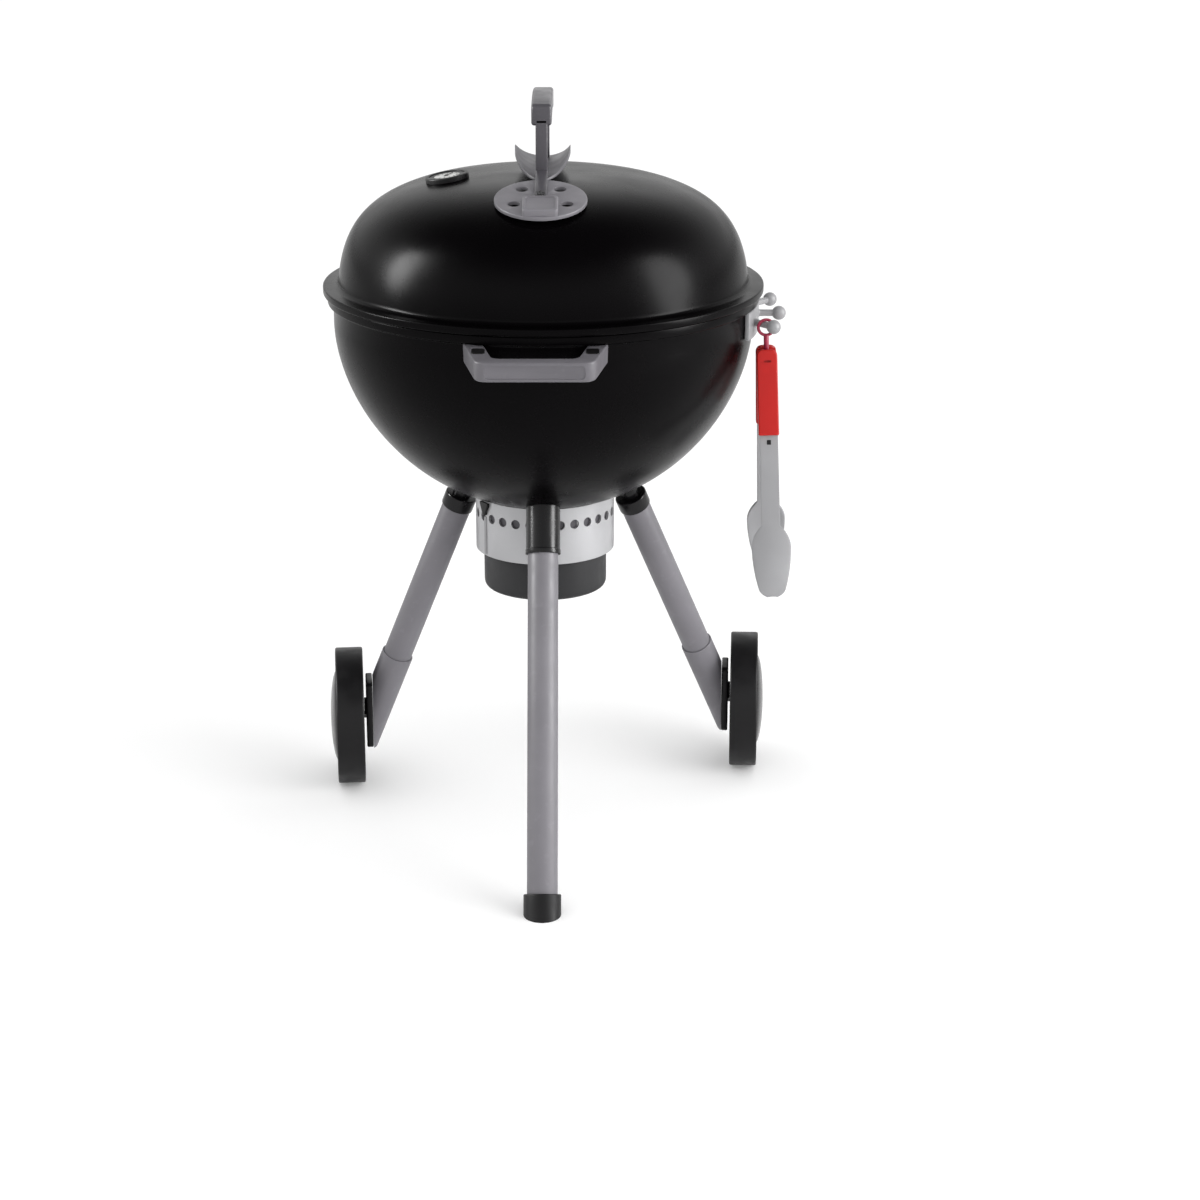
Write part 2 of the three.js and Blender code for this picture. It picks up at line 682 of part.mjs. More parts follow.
function cookingGrate() {
  const bottom = BOWL_LEVEL + SEAT_GAP;
  const outside = BOWL_INSIDE - GRATE_CLEARANCE;
  const inside = outside - GRATE_RING;
  const level = bottom + GRATE_HEIGHT / 2;
  const reach = (place) => Math.sqrt((outside - GRATE_RING / 2) ** 2 - place ** 2);
  const about = (place, width) => [place - width / 2, place + width / 2];
  const along = (place) => [-reach(place), reach(place)];
  const bars = [-GRATE_CROSS_PLACE, GRATE_CROSS_PLACE].map((place) => {
    return block(along(place), about(place, GRATE_TIE), about(level, GRATE_TIE));
  });
  const count = Math.floor(inside / GRATE_PITCH);
  for (let index = -count; index <= count; index += 1) {
    const place = index * GRATE_PITCH;
    bars.push(block(about(place, GRATE_BAR), along(place), about(level, GRATE_BAR)));
  }
  return joined([pipe(outside, inside, bottom, bottom + GRATE_HEIGHT, KETTLE_STEPS), ...bars]);
}

addPiece(grill, 'bowl_shell', 'enamel', bowlShell());
addPiece(grill, 'cooking_grate', 'darkPlastic', cookingGrate());

// Handle on the bowl's front: a bar on two arms, with a dark pad let into each arm

const handlePlace = new THREE.Vector3(BAR_SIDE_SHIFT, -BOWL_RADIUS, HANDLE_TOP);
const handleFrame = placedGroup(grill, handlePlace, 0, HANDLE_DROOP);

// Half the arms' outer spread at a distance out from the bowl
function armSpread(distance) {
  return ARM_HALF_SPREAD + (BAR_HALF_WIDTH - ARM_HALF_SPREAD) * (distance / BAR_REACH);
}

function handleOutline() {
  const root = -2 * OVERRUN;
  const inner = BAR_REACH - BAR_DEPTH;
  const corner = armSpread(inner) - ARM_WIDTH;
  const outerRound = BAR_REACH - BAR_ROUND;
  const innerRound = inner - ARM_ROUND;
  const shape = new THREE.Shape();
  shape.moveTo(-armSpread(root), -root);
  shape.lineTo(-armSpread(outerRound), -outerRound);
  shape.quadraticCurveTo(-BAR_HALF_WIDTH, -BAR_REACH, -BAR_HALF_WIDTH + BAR_ROUND, -BAR_REACH);
  shape.lineTo(BAR_HALF_WIDTH - BAR_ROUND, -BAR_REACH);
  shape.quadraticCurveTo(BAR_HALF_WIDTH, -BAR_REACH, armSpread(outerRound), -outerRound);
  shape.lineTo(armSpread(root), -root);
  shape.lineTo(armSpread(root) - ARM_WIDTH, -root);
  shape.lineTo(armSpread(innerRound) - ARM_WIDTH, -innerRound);
  shape.quadraticCurveTo(corner, -inner, corner - ARM_ROUND, -inner);
  shape.lineTo(-corner + ARM_ROUND, -inner);
  shape.quadraticCurveTo(-corner, -inner, -armSpread(innerRound) + ARM_WIDTH, -innerRound);
  shape.lineTo(-armSpread(root) + ARM_WIDTH, -root);
  return shape;
}

function padBlock(side, gap) {
  const middle = side * PAD_SPREAD;
  const half = PAD_WIDTH / 2 + gap;
  const reach = PAD_LENGTH / 2 + gap;
  const across = [middle - half, middle + half];
  return block(across, [-PAD_PLACE - reach, -PAD_PLACE + reach], [-PAD_DEPTH - gap, PAD_PROUD + gap]);
}

function bowlHandle() {
  const holes = SIDES.map(([name]) => into(handleFrame, screws[`bowl_handle_screw_${name}`].hole));
  const pockets = SIDES.map(([, side]) => padBlock(side, SEAT_GAP));
  const body = bevelled(handleOutline(), -BAR_HEIGHT, 0, BAR_BEVEL);
  return cut(body, [into(handleFrame, bowlOutside), ...holes, ...pockets]);
}

addPiece(handleFrame, 'bowl_handle', 'greyPlastic', bowlHandle());
SIDES.forEach(([name, side]) => {
  addPiece(handleFrame, `handle_pad_${name}`, 'blackPlastic', padBlock(side, 0));
  addScrew(`bowl_handle_screw_${name}`);
});

// Tool holder: a curved plate with three knobbed hooks fanned out from it

const holderFrame = placedGroup(grill, new THREE.Vector3(0, 0, HOOK_HEIGHT), HOLDER_AZIMUTH, 0);
const HOOKS = [[-1, HOOK_SIDE_REACH], [0, HOOK_MIDDLE_REACH], [1, HOOK_SIDE_REACH]];

function hookMatrix(place) {
  const root = turnedAboutZ(place * HOOK_SPREAD).multiply(shifted(0, -BOWL_RADIUS - HOLDER_THICKNESS, 0));
  return root.multiply(turnedAboutZ(place * (HOOK_FAN - HOOK_SPREAD))).multiply(TO_FRONT);
}

function hook(reach) {
  const start = Math.asin(HOOK_RADIUS / HOOK_KNOB_RADIUS);
  const count = 2 * CURVE_STEPS;
  const knob = Array.from({ length: count + 1 }, (_, step) => {
    const turn = start + (Math.PI - start) * (step / count);
    const radius = step === count ? 0 : HOOK_KNOB_RADIUS * Math.sin(turn);
    return [radius, reach - HOOK_KNOB_RADIUS * Math.cos(turn)];
  });
  const root = -HOLDER_THICKNESS / 2;
  return turnedForm([[0, root], [HOOK_RADIUS, root], ...knob], SMALL_STEPS);
}

function toolHolder() {
  const half = radians(HOLDER_HALF_ANGLE);
  const front = -Math.PI / 2;
  const sector = new THREE.Shape();
  sector.absarc(0, 0, BOWL_RADIUS + HOLDER_THICKNESS, front - half, front + half, false);
  sector.absarc(0, 0, BOWL_INSIDE, front + half, front - half, true);
  const plate = extruded(sector, -HOLDER_HEIGHT / 2, HOLDER_HEIGHT / 2);
  const hooks = HOOKS.map(([place, reach]) => moved(hook(reach), hookMatrix(place)));
  const holes = ENDS.map(([name]) => into(holderFrame, screws[`tool_holder_screw_${name}`].hole));
  return cut(joined([plate, ...hooks]), [into(holderFrame, bowlOutside), ...holes]);
}

addPiece(holderFrame, 'tool_holder', 'lightPlastic', toolHolder());
ENDS.forEach(([name]) => addScrew(`tool_holder_screw_${name}`));

// Frames on the lid: the damper on the front slope and the thermometer on the left shoulder

function lidFrame(azimuth, distance) {
  const place = new THREE.Vector3(0, -distance, domeHeight(distance));
  place.applyAxisAngle(new THREE.Vector3(0, 0, 1), radians(azimuth));
  return placedGroup(grill, place, azimuth, domeSlope(distance));
}

const damperFrame = lidFrame(0, DAMPER_PLACE);
const dialFrame = lidFrame(DIAL_AZIMUTH, DIAL_PLACE);
const lidHandleScrews = ENDS.map(([, side]) => {
  const place = shifted(0, side * HANDLE_LEG_PLACE, domeHeight(HANDLE_LEG_PLACE) - LID_WALL);
  return placedScrew(place, SCREW_LENGTH, lidInside);
});
const lidHandleHoles = lidHandleScrews.map(({ hole }) => hole);
const pivotHole = rod(PIVOT_RADIUS + SEAT_GAP, -OVERRUN, OVERRUN, SCREW_STEPS);
const stemHole = rod(DIAL_STEM_RADIUS + SEAT_GAP, -OVERRUN, OVERRUN, SCREW_STEPS);

// Keeps what lies inside the lid, with a seat gap to its wall
function insideLid(frame, body) {
  return into(frame, outOf(frame, body).intersect(lidInside));
}

function lidShell() {
  const outside = domeCurve(0);
  const foot = outside[0][0];
  const lip = BOWL_RADIUS + RIM_REACH + FLANGE_OVERHANG;
  const skirt = BOWL_INSIDE - SKIRT_CLEARANCE;
  const seat = RIM_TOP + SEAT_GAP;
  const groove = lip - FLANGE_GROOVE_DEPTH;
  const profile = [
    ...domeCurve(LID_WALL).toReversed(),
    [skirt - SKIRT_WALL, seat],
    [skirt - SKIRT_WALL, RIM_TOP - SKIRT_DEPTH],
    [skirt, RIM_TOP - SKIRT_DEPTH],
    [skirt, seat],
    [groove, seat],
    [groove, FLANGE_BOTTOM],
    [lip - FLANGE_ROUND, FLANGE_BOTTOM],
    [lip, FLANGE_BOTTOM + FLANGE_ROUND],
    [lip, FLANGE_TOP - FLANGE_ROUND],
    [lip - FLANGE_ROUND, FLANGE_TOP],
    [foot + FLANGE_FILLET, FLANGE_TOP + FLANGE_ROUND],
    [foot + FLANGE_ROUND, (FLANGE_TOP + DOME_FOOT) / 2],
    ...outside,
  ];
  const holes = [outOf(damperFrame, pivotHole), outOf(dialFrame, stemHole), ...lidHandleHoles];
  return cut(turnedForm(profile, KETTLE_STEPS), holes);
}

// Grip: an arch seen from the side
function lidGrip() {
  const top = GRIP_BOTTOM + GRIP_HEIGHT;
  const crown = top + GRIP_CROWN;
  const end = GRIP_HALF_LENGTH;
  const inner = end - HANDLE_LEG_DEPTH;
  const outline = new THREE.Shape();
  outline.moveTo(end, GRIP_BOTTOM);
  outline.lineTo(end, top - GRIP_ROUND);
  outline.quadraticCurveTo(end, top, end - GRIP_ROUND, top);
  outline.quadraticCurveTo(end / 2, crown, 0, crown);
  outline.quadraticCurveTo(-end / 2, crown, -end + GRIP_ROUND, top);
  outline.quadraticCurveTo(-end, top, -end, top - GRIP_ROUND);
  outline.lineTo(-end, GRIP_BOTTOM);
  outline.lineTo(-inner, GRIP_BOTTOM);
  outline.quadraticCurveTo(0, GRIP_BOTTOM + 2 * GRIP_CROWN, inner, GRIP_BOTTOM);
  return moved(bevelled(outline, -GRIP_WIDTH / 2, GRIP_WIDTH / 2, GRIP_BEVEL), UPRIGHT);
}

// The legs stand in the shield's trough, and their tops run up into the grip
function handleLeg(side) {
  const half = HANDLE_LEG_WIDTH / 2;
  const sag = SHIELD_BEND_RADIUS - Math.sqrt(SHIELD_BEND_RADIUS ** 2 - half ** 2);
  const foot = SHIELD_BOTTOM + SHIELD_THICKNESS + sag + SEAT_GAP;
  const inner = GRIP_HALF_LENGTH - HANDLE_LEG_DEPTH;
  const outline = polygon([
    [-inner, foot],
    [-GRIP_HALF_LENGTH, foot],
    [-GRIP_HALF_LENGTH, GRIP_BOTTOM + GRIP_ROUND],
    [-inner + HANDLE_LEG_SPREAD, GRIP_BOTTOM + GRIP_ROUND],
    [-inner, GRIP_BOTTOM - HANDLE_LEG_SPREAD],
  ]);
  return moved(extruded(outline, -half, half), towards(side).multiply(UPRIGHT));
}

// The front leg runs on as a flat tongue over the damper to its pivot
function handleTongue() {
  const half = TONGUE_WIDTH / 2;
  const start = (DAMPER_PLACE - HANDLE_LEG_PLACE) / Math.cos(damperFrame.rotation.x);
  const strip = new THREE.Shape();
  strip.moveTo(half, start);
  strip.lineTo(-half, start);
  strip.lineTo(-half, 0);
  strip.absarc(0, 0, half, Math.PI, Math.PI * 2, false);
  return outOf(damperFrame, extruded(strip, TONGUE_BOTTOM, TONGUE_TOP).subtract(pivotHole));
}

// Oval plate bent into a trough, on two posts that the handle's screws go through
function heatShield() {
  const outside = SHIELD_BEND_RADIUS + SHIELD_THICKNESS;
  const middle = SHIELD_BOTTOM + outside;
  const bend = new THREE.Shape();
  bend.absarc(0, 0, outside, Math.PI, Math.PI * 2, false);
  bend.absarc(0, 0, SHIELD_BEND_RADIUS, Math.PI * 2, Math.PI, true);
  const trough = extruded(bend, -SHIELD_HALF_LENGTH, SHIELD_HALF_LENGTH, ARC_STEPS);
  const oval = new THREE.Shape();
  oval.absellipse(0, 0, SHIELD_HALF_WIDTH, SHIELD_HALF_LENGTH, 0, Math.PI * 2, false, 0);
  const prism = extruded(oval, SHIELD_BOTTOM - SHIELD_THICKNESS, middle, ARC_STEPS);
  const plate = moved(trough, shifted(0, 0, middle).multiply(TO_FRONT)).intersect(prism);
  const posts = ENDS.map(([, side]) => {
    const post = rod(SHIELD_POST_RADIUS, DOME_FOOT, SHIELD_BOTTOM + SHIELD_THICKNESS / 2, SCREW_STEPS);
    return moved(post, shifted(0, side * HANDLE_LEG_PLACE, 0)).subtract(lidOutside);
  });
  return cut(joined([plate, ...posts]), lidHandleHoles);
}

const lidHandle = joined([lidGrip(), ...ENDS.map(([, side]) => handleLeg(side)), handleTongue()]);
addPiece(grill, 'lid_shell', 'enamel', lidShell());
addPiece(grill, 'lid_handle', 'greyPlastic', cut(lidHandle, lidHandleHoles));
addPiece(grill, 'heat_shield', 'greyPlastic', heatShield());
ENDS.forEach(([name], index) => {
  addPiece(grill, `lid_handle_screw_${name}`, 'steel', lidHandleScrews[index].form);
});

// Damper: a round plate with four holes and a raised finger block, turning on its pivot

function damperDisc() {
  const holes = DAMPER_HOLE_ANGLES.map((angle) => {
    const hole = rod(DAMPER_HOLE_RADIUS, -OVERRUN, OVERRUN, SMALL_STEPS);
    return moved(hole, turnedAboutZ(angle).multiply(shifted(0, DAMPER_HOLE_CIRCLE, 0)));
  });
  const top = SEAT_GAP + DAMPER_THICKNESS;
  const plate = turnedForm([
    [0, SEAT_GAP],
    [DAMPER_RADIUS, SEAT_GAP],
    [DAMPER_RADIUS, top - DAMPER_EDGE],
    [DAMPER_RADIUS - DAMPER_EDGE, top],
    [0, top],
  ], WHEEL_STEPS);
  const outline = roundedRectangle(TAB_WIDTH / 2, TAB_LENGTH / 2, TAB_ROUND);
  const tab = bevelled(outline, DAMPER_THICKNESS - TAB_BEVEL, top + TAB_HEIGHT, TAB_BEVEL);
  const placed = moved(tab, shifted(0, -TAB_START - TAB_LENGTH / 2, 0));
  return cut(joined([plate, placed]), [...holes, pivotHole]);
}

// The pivot's head lies on the tongue and its nut inside the lid
function damperPivot() {
  const bottom = -LID_WALL - PIVOT_NUT_HEIGHT;
  const seat = TONGUE_TOP + SEAT_GAP;
  const head = rod(PIVOT_HEAD_RADIUS, seat, seat + PIVOT_HEAD_HEIGHT, SCREW_STEPS);
  const shank = rod(PIVOT_RADIUS, bottom, TONGUE_TOP + PIVOT_HEAD_HEIGHT, SCREW_STEPS);
  const nut = insideLid(damperFrame, rod(PIVOT_HEAD_RADIUS, bottom, OVERRUN, SCREW_STEPS));
  return joined([head, shank, nut]);
}

addPiece(damperFrame, 'damper_disc', 'greyPlastic', damperDisc());
addPiece(damperFrame, 'damper_pivot', 'steel', damperPivot());

// Thermometer: a raised bezel with a dial let into it, on a stem with a nut inside the lid

function thermometerBezel() {
  const rim = BEZEL_RADIUS - BEZEL_RIM;
  const floor = BEZEL_HEIGHT - DIAL_RECESS - DIAL_THICKNESS - SEAT_GAP;
  const form = turnedForm([
    [0, -OVERRUN],
    [BEZEL_RADIUS, -OVERRUN],
    [BEZEL_RADIUS, BEZEL_HEIGHT - BEZEL_ROUND],
    [BEZEL_RADIUS - BEZEL_ROUND, BEZEL_HEIGHT],
    [rim + BEZEL_ROUND / 2, BEZEL_HEIGHT],
    [rim, BEZEL_HEIGHT - BEZEL_ROUND / 2],
    [rim, floor],
    [0, floor],
  ], WHEEL_STEPS);
  const stem = rod(DIAL_STEM_RADIUS, -DIAL_STEM_LENGTH, floor / 2, SCREW_STEPS);
  return form.subtract(into(dialFrame, lidOutside)).add(stem);
}

function thermometerDial() {
  const top = BEZEL_HEIGHT - DIAL_RECESS;
  return rod(BEZEL_RADIUS - BEZEL_RIM - SEAT_GAP, top - DIAL_THICKNESS, top, WHEEL_STEPS);
}

function thermometerNut() {
  const bottom = -LID_WALL - DIAL_NUT_HEIGHT;
  const nut = pipe(DIAL_NUT_RADIUS, DIAL_STEM_RADIUS + SEAT_GAP, bottom, OVERRUN, SCREW_STEPS);
  return insideLid(dialFrame, nut);
}

addPiece(dialFrame, 'thermometer_bezel', 'blackPlastic', thermometerBezel());
addPiece(dialFrame, 'thermometer_dial', 'dialFace', thermometerDial());
addPiece(dialFrame, 'thermometer_nut', 'steel', thermometerNut());

// Ash catcher: a collar with a row of round vents, a small latch and a pot that pulls down

function ventHoles() {
  const hole = rod(VENT_RADIUS, COLLAR_INSIDE - COLLAR_WALL / 2, COLLAR_RADIUS + COLLAR_WALL, VENT_STEPS);
  return Array.from({ length: VENT_COUNT }, (_, index) => {
    return moved(hole, outward(VENT_PHASE + (360 / VENT_COUNT) * index, VENT_HEIGHT));
  });
}

function ashCollar() {
  const wall = turnedForm([
    [POT_SLEEVE, COLLAR_BOTTOM],
    [COLLAR_RADIUS, COLLAR_BOTTOM],
    [COLLAR_RADIUS, BOWL_LEVEL],
    [COLLAR_INSIDE, BOWL_LEVEL],
    [COLLAR_INSIDE, COLLAR_BOTTOM + COLLAR_LIP_HEIGHT],
    [POT_SLEEVE, COLLAR_BOTTOM + COLLAR_LIP_HEIGHT],
    [POT_SLEEVE, COLLAR_BOTTOM],
  ], KETTLE_STEPS);
  const boss = rod(COLLAR_BOSS_RADIUS, BOWL_BOTTOM - COLLAR_BOSS_DROP, BOWL_LEVEL, SCREW_STEPS);
  const bosses = COLLAR_SCREW_PLACES.map((place) => {
    const turn = turnedAboutZ(VENT_PHASE + (360 / VENT_COUNT) * (place + 1 / 2));
    return moved(boss, turn.multiply(shifted(0, -COLLAR_BOSS_PLACE, 0)));
  });
  const holes = COLLAR_SCREW_PLACES.map((_, index) => screws[`ash_collar_screw_${index + 1}`].hole);
  return cut(joined([wall, ...bosses]), [bowlOutside, ...ventHoles(), ...holes]);
}

function ashLatch() {
  const [top, tip] = [LATCH_WIDTH / 2, LATCH_TIP_WIDTH / 2];
  const high = BOWL_BOTTOM + LATCH_RISE;
  const low = high - LATCH_HEIGHT;
  const outline = polygon([[-tip, low], [tip, low], [top, high], [-top, high]]);
  const wedge = extruded(outline, COLLAR_INSIDE, COLLAR_RADIUS + LATCH_THICKNESS);
  const plate = moved(wedge, outward(LATCH_AZIMUTH, 0));
  return cut(plate, [rod(COLLAR_RADIUS + SEAT_GAP, COLLAR_BOTTOM, BOWL_LEVEL, KETTLE_STEPS), bowlOutside]);
}

function ashPot() {
  const inside = POT_RADIUS - POT_WALL;
  const top = POT_BOTTOM + POT_HEIGHT;
  return turnedForm([
    [0, POT_BOTTOM],
    [POT_RADIUS - POT_ROUND, POT_BOTTOM],
    [POT_RADIUS - POT_ROUND / 3, POT_BOTTOM + POT_ROUND / 3],
    [POT_RADIUS, POT_BOTTOM + POT_ROUND],
    [POT_RADIUS, top],
    [inside, top],
    [inside, POT_BOTTOM + POT_ROUND],
    [inside - POT_ROUND / 2, POT_BOTTOM + POT_WALL],
    [0, POT_BOTTOM + POT_WALL],
  ], KETTLE_STEPS);
}

addPiece(grill, 'ash_collar', 'lightPlastic', ashCollar());
addPiece(grill, 'ash_latch', 'blackPlastic', ashLatch());
addPiece(grill, 'ash_pot', 'darkPlastic', ashPot());
COLLAR_SCREW_PLACES.forEach((_, index) => addScrew(`ash_collar_screw_${index + 1}`));

// Legs

function legTube(from, to) {
  return pipe(TUBE_RADIUS, TUBE_RADIUS - TUBE_WALL, -to, -from);
}

// A socket's neck rises from it to the bowl's underside, where its bolt comes in
function withNeck(frame, socket, radius, bolt) {
  const neck = rod(radius, 0, legToBowl(frame) + OVERRUN);
  return cut(joined([socket, neck]), [into(frame, bowlOutside), into(frame, screws[bolt].hole)]);
}

// The front socket runs on up to the bowl's underside at its full width
function frontSocket() {
  const foot = -FRONT_SOCKET_FOOT;
  const top = legToBowl(frontLeg) + OVERRUN;
  const lip = FRONT_SOCKET_RADIUS + FRONT_SOCKET_LIP;
  const body = turnedForm([
    [0, foot],
    [lip, foot],
    [lip, foot + FRONT_SOCKET_LIP_LENGTH - FRONT_SOCKET_LIP],
    [FRONT_SOCKET_RADIUS, foot + FRONT_SOCKET_LIP_LENGTH],
    [FRONT_SOCKET_RADIUS, top],
    [0, top],
  ], ROUND_STEPS);
  const bore = rod(TUBE_SOCKET, foot - OVERRUN, foot + FRONT_SOCKET_DEPTH);
  return cut(body, [bore, into(frontLeg, bowlOutside), into(frontLeg, screws.front_leg_bolt.hole)]);
}

function rearSocket(frame, bolt) {
  const half = REAR_SOCKET_LENGTH / 2;
  const disc = rod(REAR_SOCKET_RADIUS, -half, half);
  const spigot = rod(TUBE_RADIUS - TUBE_WALL - SEAT_GAP, -half - SPIGOT_LENGTH, 0);
  return withNeck(frame, disc.add(spigot), REAR_NECK_RADIUS, bolt);
}

// The front foot is cut flat where it stands on the floor
function frontFoot() {
  const top = -legDown(frontLeg, FOOT_HEIGHT);
  const end = -legDown(frontLeg, FOOT_TUBE_HEIGHT);
  const floor = block([-LEG_CIRCLE, LEG_CIRCLE], [-2 * BOWL_RADIUS, 0], [-BOWL_DEPTH, 0]);
  const cap = rod(FOOT_RADIUS, -legDown(frontLeg, -FOOT_RADIUS), top);
  return cut(cap, [rod(TUBE_SOCKET, end - SEAT_GAP, top + OVERRUN), into(frontLeg, floor)]);
}

const frontTubeStart = FRONT_SOCKET_FOOT - FRONT_SOCKET_DEPTH + SEAT_GAP;
const frontTube = legTube(frontTubeStart, legDown(frontLeg, FOOT_TUBE_HEIGHT));
addPiece(frontLeg, 'front_leg_socket', 'blackPlastic', frontSocket());
addPiece(frontLeg, 'front_leg_tube', 'greyPlastic', frontTube);
addPiece(frontLeg, 'front_foot', 'blackPlastic', frontFoot());
addScrew('front_leg_bolt');

// Sleeve on a rear leg's end, cut upright where the wheel's plate lies on it
function legSleeve(frame, wheel, side) {
  const top = -legDown(frame, WHEEL_CENTRE_HEIGHT + SLEEVE_RISE);
  const low = -legDown(frame, WHEEL_CENTRE_HEIGHT + PLATE_LIFT - PLATE_HEIGHT / 2);
  const bore = rod(TUBE_SOCKET, top - SLEEVE_GRIP - SEAT_GAP, top + OVERRUN);
  const reach = 2 * WHEEL_RADIUS;
  const across = [-side * PLATE_INSIDE, side * reach].sort((a, b) => a - b);
  const beyond = outOf(wheel, block(across, [-reach, reach], [-reach, reach]));
  return cut(rod(SLEEVE_RADIUS, low, top), [bore, into(frame, beyond)]);
}

// Plate with the boss that the axle is set in
function axlePlate(side) {
  const across = [-side * (PLATE_INSIDE - SEAT_GAP), -side * PLATE_OUTSIDE].sort((a, b) => a - b);
  const upright = [PLATE_LIFT - PLATE_HEIGHT / 2, PLATE_LIFT + PLATE_HEIGHT / 2];
  const plate = block(across, [-PLATE_WIDTH / 2, PLATE_WIDTH / 2], upright);
  const boss = rod(BOSS_RADIUS, -PLATE_OUTSIDE - SEAT_GAP, -WHEEL_WIDTH / 2 - SEAT_GAP);
  const hole = rod(AXLE_RADIUS + SEAT_GAP, -2 * PLATE_INSIDE, 0, SMALL_STEPS);
  return plate.add(moved(boss, outboard(side))).subtract(moved(hole, outboard(side)));
}

function stubAxle(side) {
  const seat = WHEEL_WIDTH / 2 - HUB_CAP_SEAT + SEAT_GAP;
  return moved(turnedForm([
    [0, -PLATE_INSIDE + SEAT_GAP],
    [AXLE_RADIUS, -PLATE_INSIDE + SEAT_GAP],
    [AXLE_RADIUS, seat],
    [AXLE_HEAD_RADIUS, seat],
    [AXLE_HEAD_RADIUS, seat + AXLE_HEAD_HEIGHT],
    [0, seat + AXLE_HEAD_HEIGHT],
  ], SMALL_STEPS), outboard(side));
}

// Wheel: hollow towards the leg, with a shallow seat for its hub cap outside
function wheelForm(side) {
  const [inner, outer] = [-WHEEL_WIDTH / 2, WHEEL_WIDTH / 2];
  const rim = WHEEL_RADIUS - WHEEL_RIM;
  const bore = AXLE_RADIUS + SEAT_GAP;
  return moved(turnedForm([
    [bore, inner],
    [WHEEL_HUB_RADIUS, inner],
    [WHEEL_HUB_RADIUS, inner + WHEEL_RECESS],
    [rim - WHEEL_EDGE, inner + WHEEL_RECESS],
    [rim, inner],
    [WHEEL_RADIUS - WHEEL_EDGE, inner],
    [WHEEL_RADIUS, inner + WHEEL_EDGE],
    [WHEEL_RADIUS, outer - WHEEL_EDGE],
    [WHEEL_RADIUS - WHEEL_EDGE, outer],
    [rim, outer],
    [rim - WHEEL_EDGE, outer - HUB_CAP_SEAT],
    [bore, outer - HUB_CAP_SEAT],
    [bore, inner],
  ], WHEEL_STEPS, Math.PI / WHEEL_STEPS), outboard(side));
}

function hubCapArc(radius, rise) {
  const base = WHEEL_WIDTH / 2 - HUB_CAP_SEAT + SEAT_GAP;
  return Array.from({ length: CURVE_STEPS + 1 }, (_, step) => {
    const turn = (Math.PI / 2) * (step / CURVE_STEPS);
    return [step === CURVE_STEPS ? 0 : radius * Math.cos(turn), base + rise * Math.sin(turn)];
  });
}

function hubCap(side) {
  const rise = HUB_CAP_SEAT + HUB_CAP_BULGE;
  const inside = hubCapArc(HUB_CAP_RADIUS - HUB_CAP_WALL, rise - HUB_CAP_WALL);
  const profile = [...inside.toReversed(), ...hubCapArc(HUB_CAP_RADIUS, rise)];
  return moved(turnedForm(profile, WHEEL_STEPS), outboard(side));
}

SIDES.forEach(([name, side], index) => {
  const leg = rearLegs[index];
  const wheel = wheelFrames[index];
  const tubeEnd = legDown(leg, WHEEL_CENTRE_HEIGHT + SLEEVE_RISE) + SLEEVE_GRIP;
  const tube = legTube(REAR_SOCKET_LENGTH / 2 + SEAT_GAP, tubeEnd);
  addPiece(leg, `rear_${name}_leg_socket`, 'blackPlastic', rearSocket(leg, `rear_${name}_leg_bolt`));
  addPiece(leg, `rear_${name}_leg_tube`, 'greyPlastic', tube);
  addPiece(leg, `rear_${name}_leg_sleeve`, 'greyPlastic', legSleeve(leg, wheel, side));
  addScrew(`rear_${name}_leg_bolt`);
  addPiece(wheel, `axle_plate_${name}`, 'blackPlastic', axlePlate(side));
  addPiece(wheel, `axle_${name}`, 'steel', stubAxle(side));
  addPiece(wheel, `wheel_${name}`, 'blackPlastic', wheelForm(side));
  addPiece(wheel, `hub_cap_${name}`, 'blackPlastic', hubCap(side));
});

// Tongs: they hang by their ring on the front hook, half open, with the wide faces to the front

const frontHook = holderFrame.matrixWorld.clone().multiply(hookMatrix(-1));
const tongs = placedGroup(grill, new THREE.Vector3(0, 0, RING_ALONG_HOOK).applyMatrix4(frontHook), 0, 0);
tongs.rotation.y = radians(-TONGS_LEAN);
tongs.updateWorldMatrix(true, false);
const pivotPlace = new THREE.Vector3(0, 0, -TONGS_PIVOT_DROP);

function alongPin(from, to, radius) {
  return moved(rod(radius, from, to, SMALL_STEPS), TO_RIGHT);
}

const pinHole = alongPin(-TONG_ARM_WIDTH, TONG_ARM_WIDTH, PIN_RADIUS + SEAT_GAP);

// The ring hangs on the hook, and its stem ends in the middle knuckle
function tongsHanger() {
  const middle = HOOK_RADIUS + SEAT_GAP - RING_INSIDE;
  const torus = new THREE.TorusGeometry(RING_RADIUS, RING_WIRE, RING_WIRE_STEPS, ROUND_STEPS);
  const ring = moved(solid(torus), shifted(0, 0, middle).multiply(TO_FRONT));
  const stem = rod(STEM_RADIUS, -TONGS_PIVOT_DROP, middle - RING_RADIUS, SCREW_STEPS);
  const barrel = alongPin(-KNUCKLE_HALF_WIDTH, KNUCKLE_HALF_WIDTH, KNUCKLE_RADIUS);
  const knuckle = moved(barrel, shifted(...pivotPlace));
  return joined([ring, stem, knuckle]).subtract(moved(pinHole, shifted(...pivotPlace)));
}

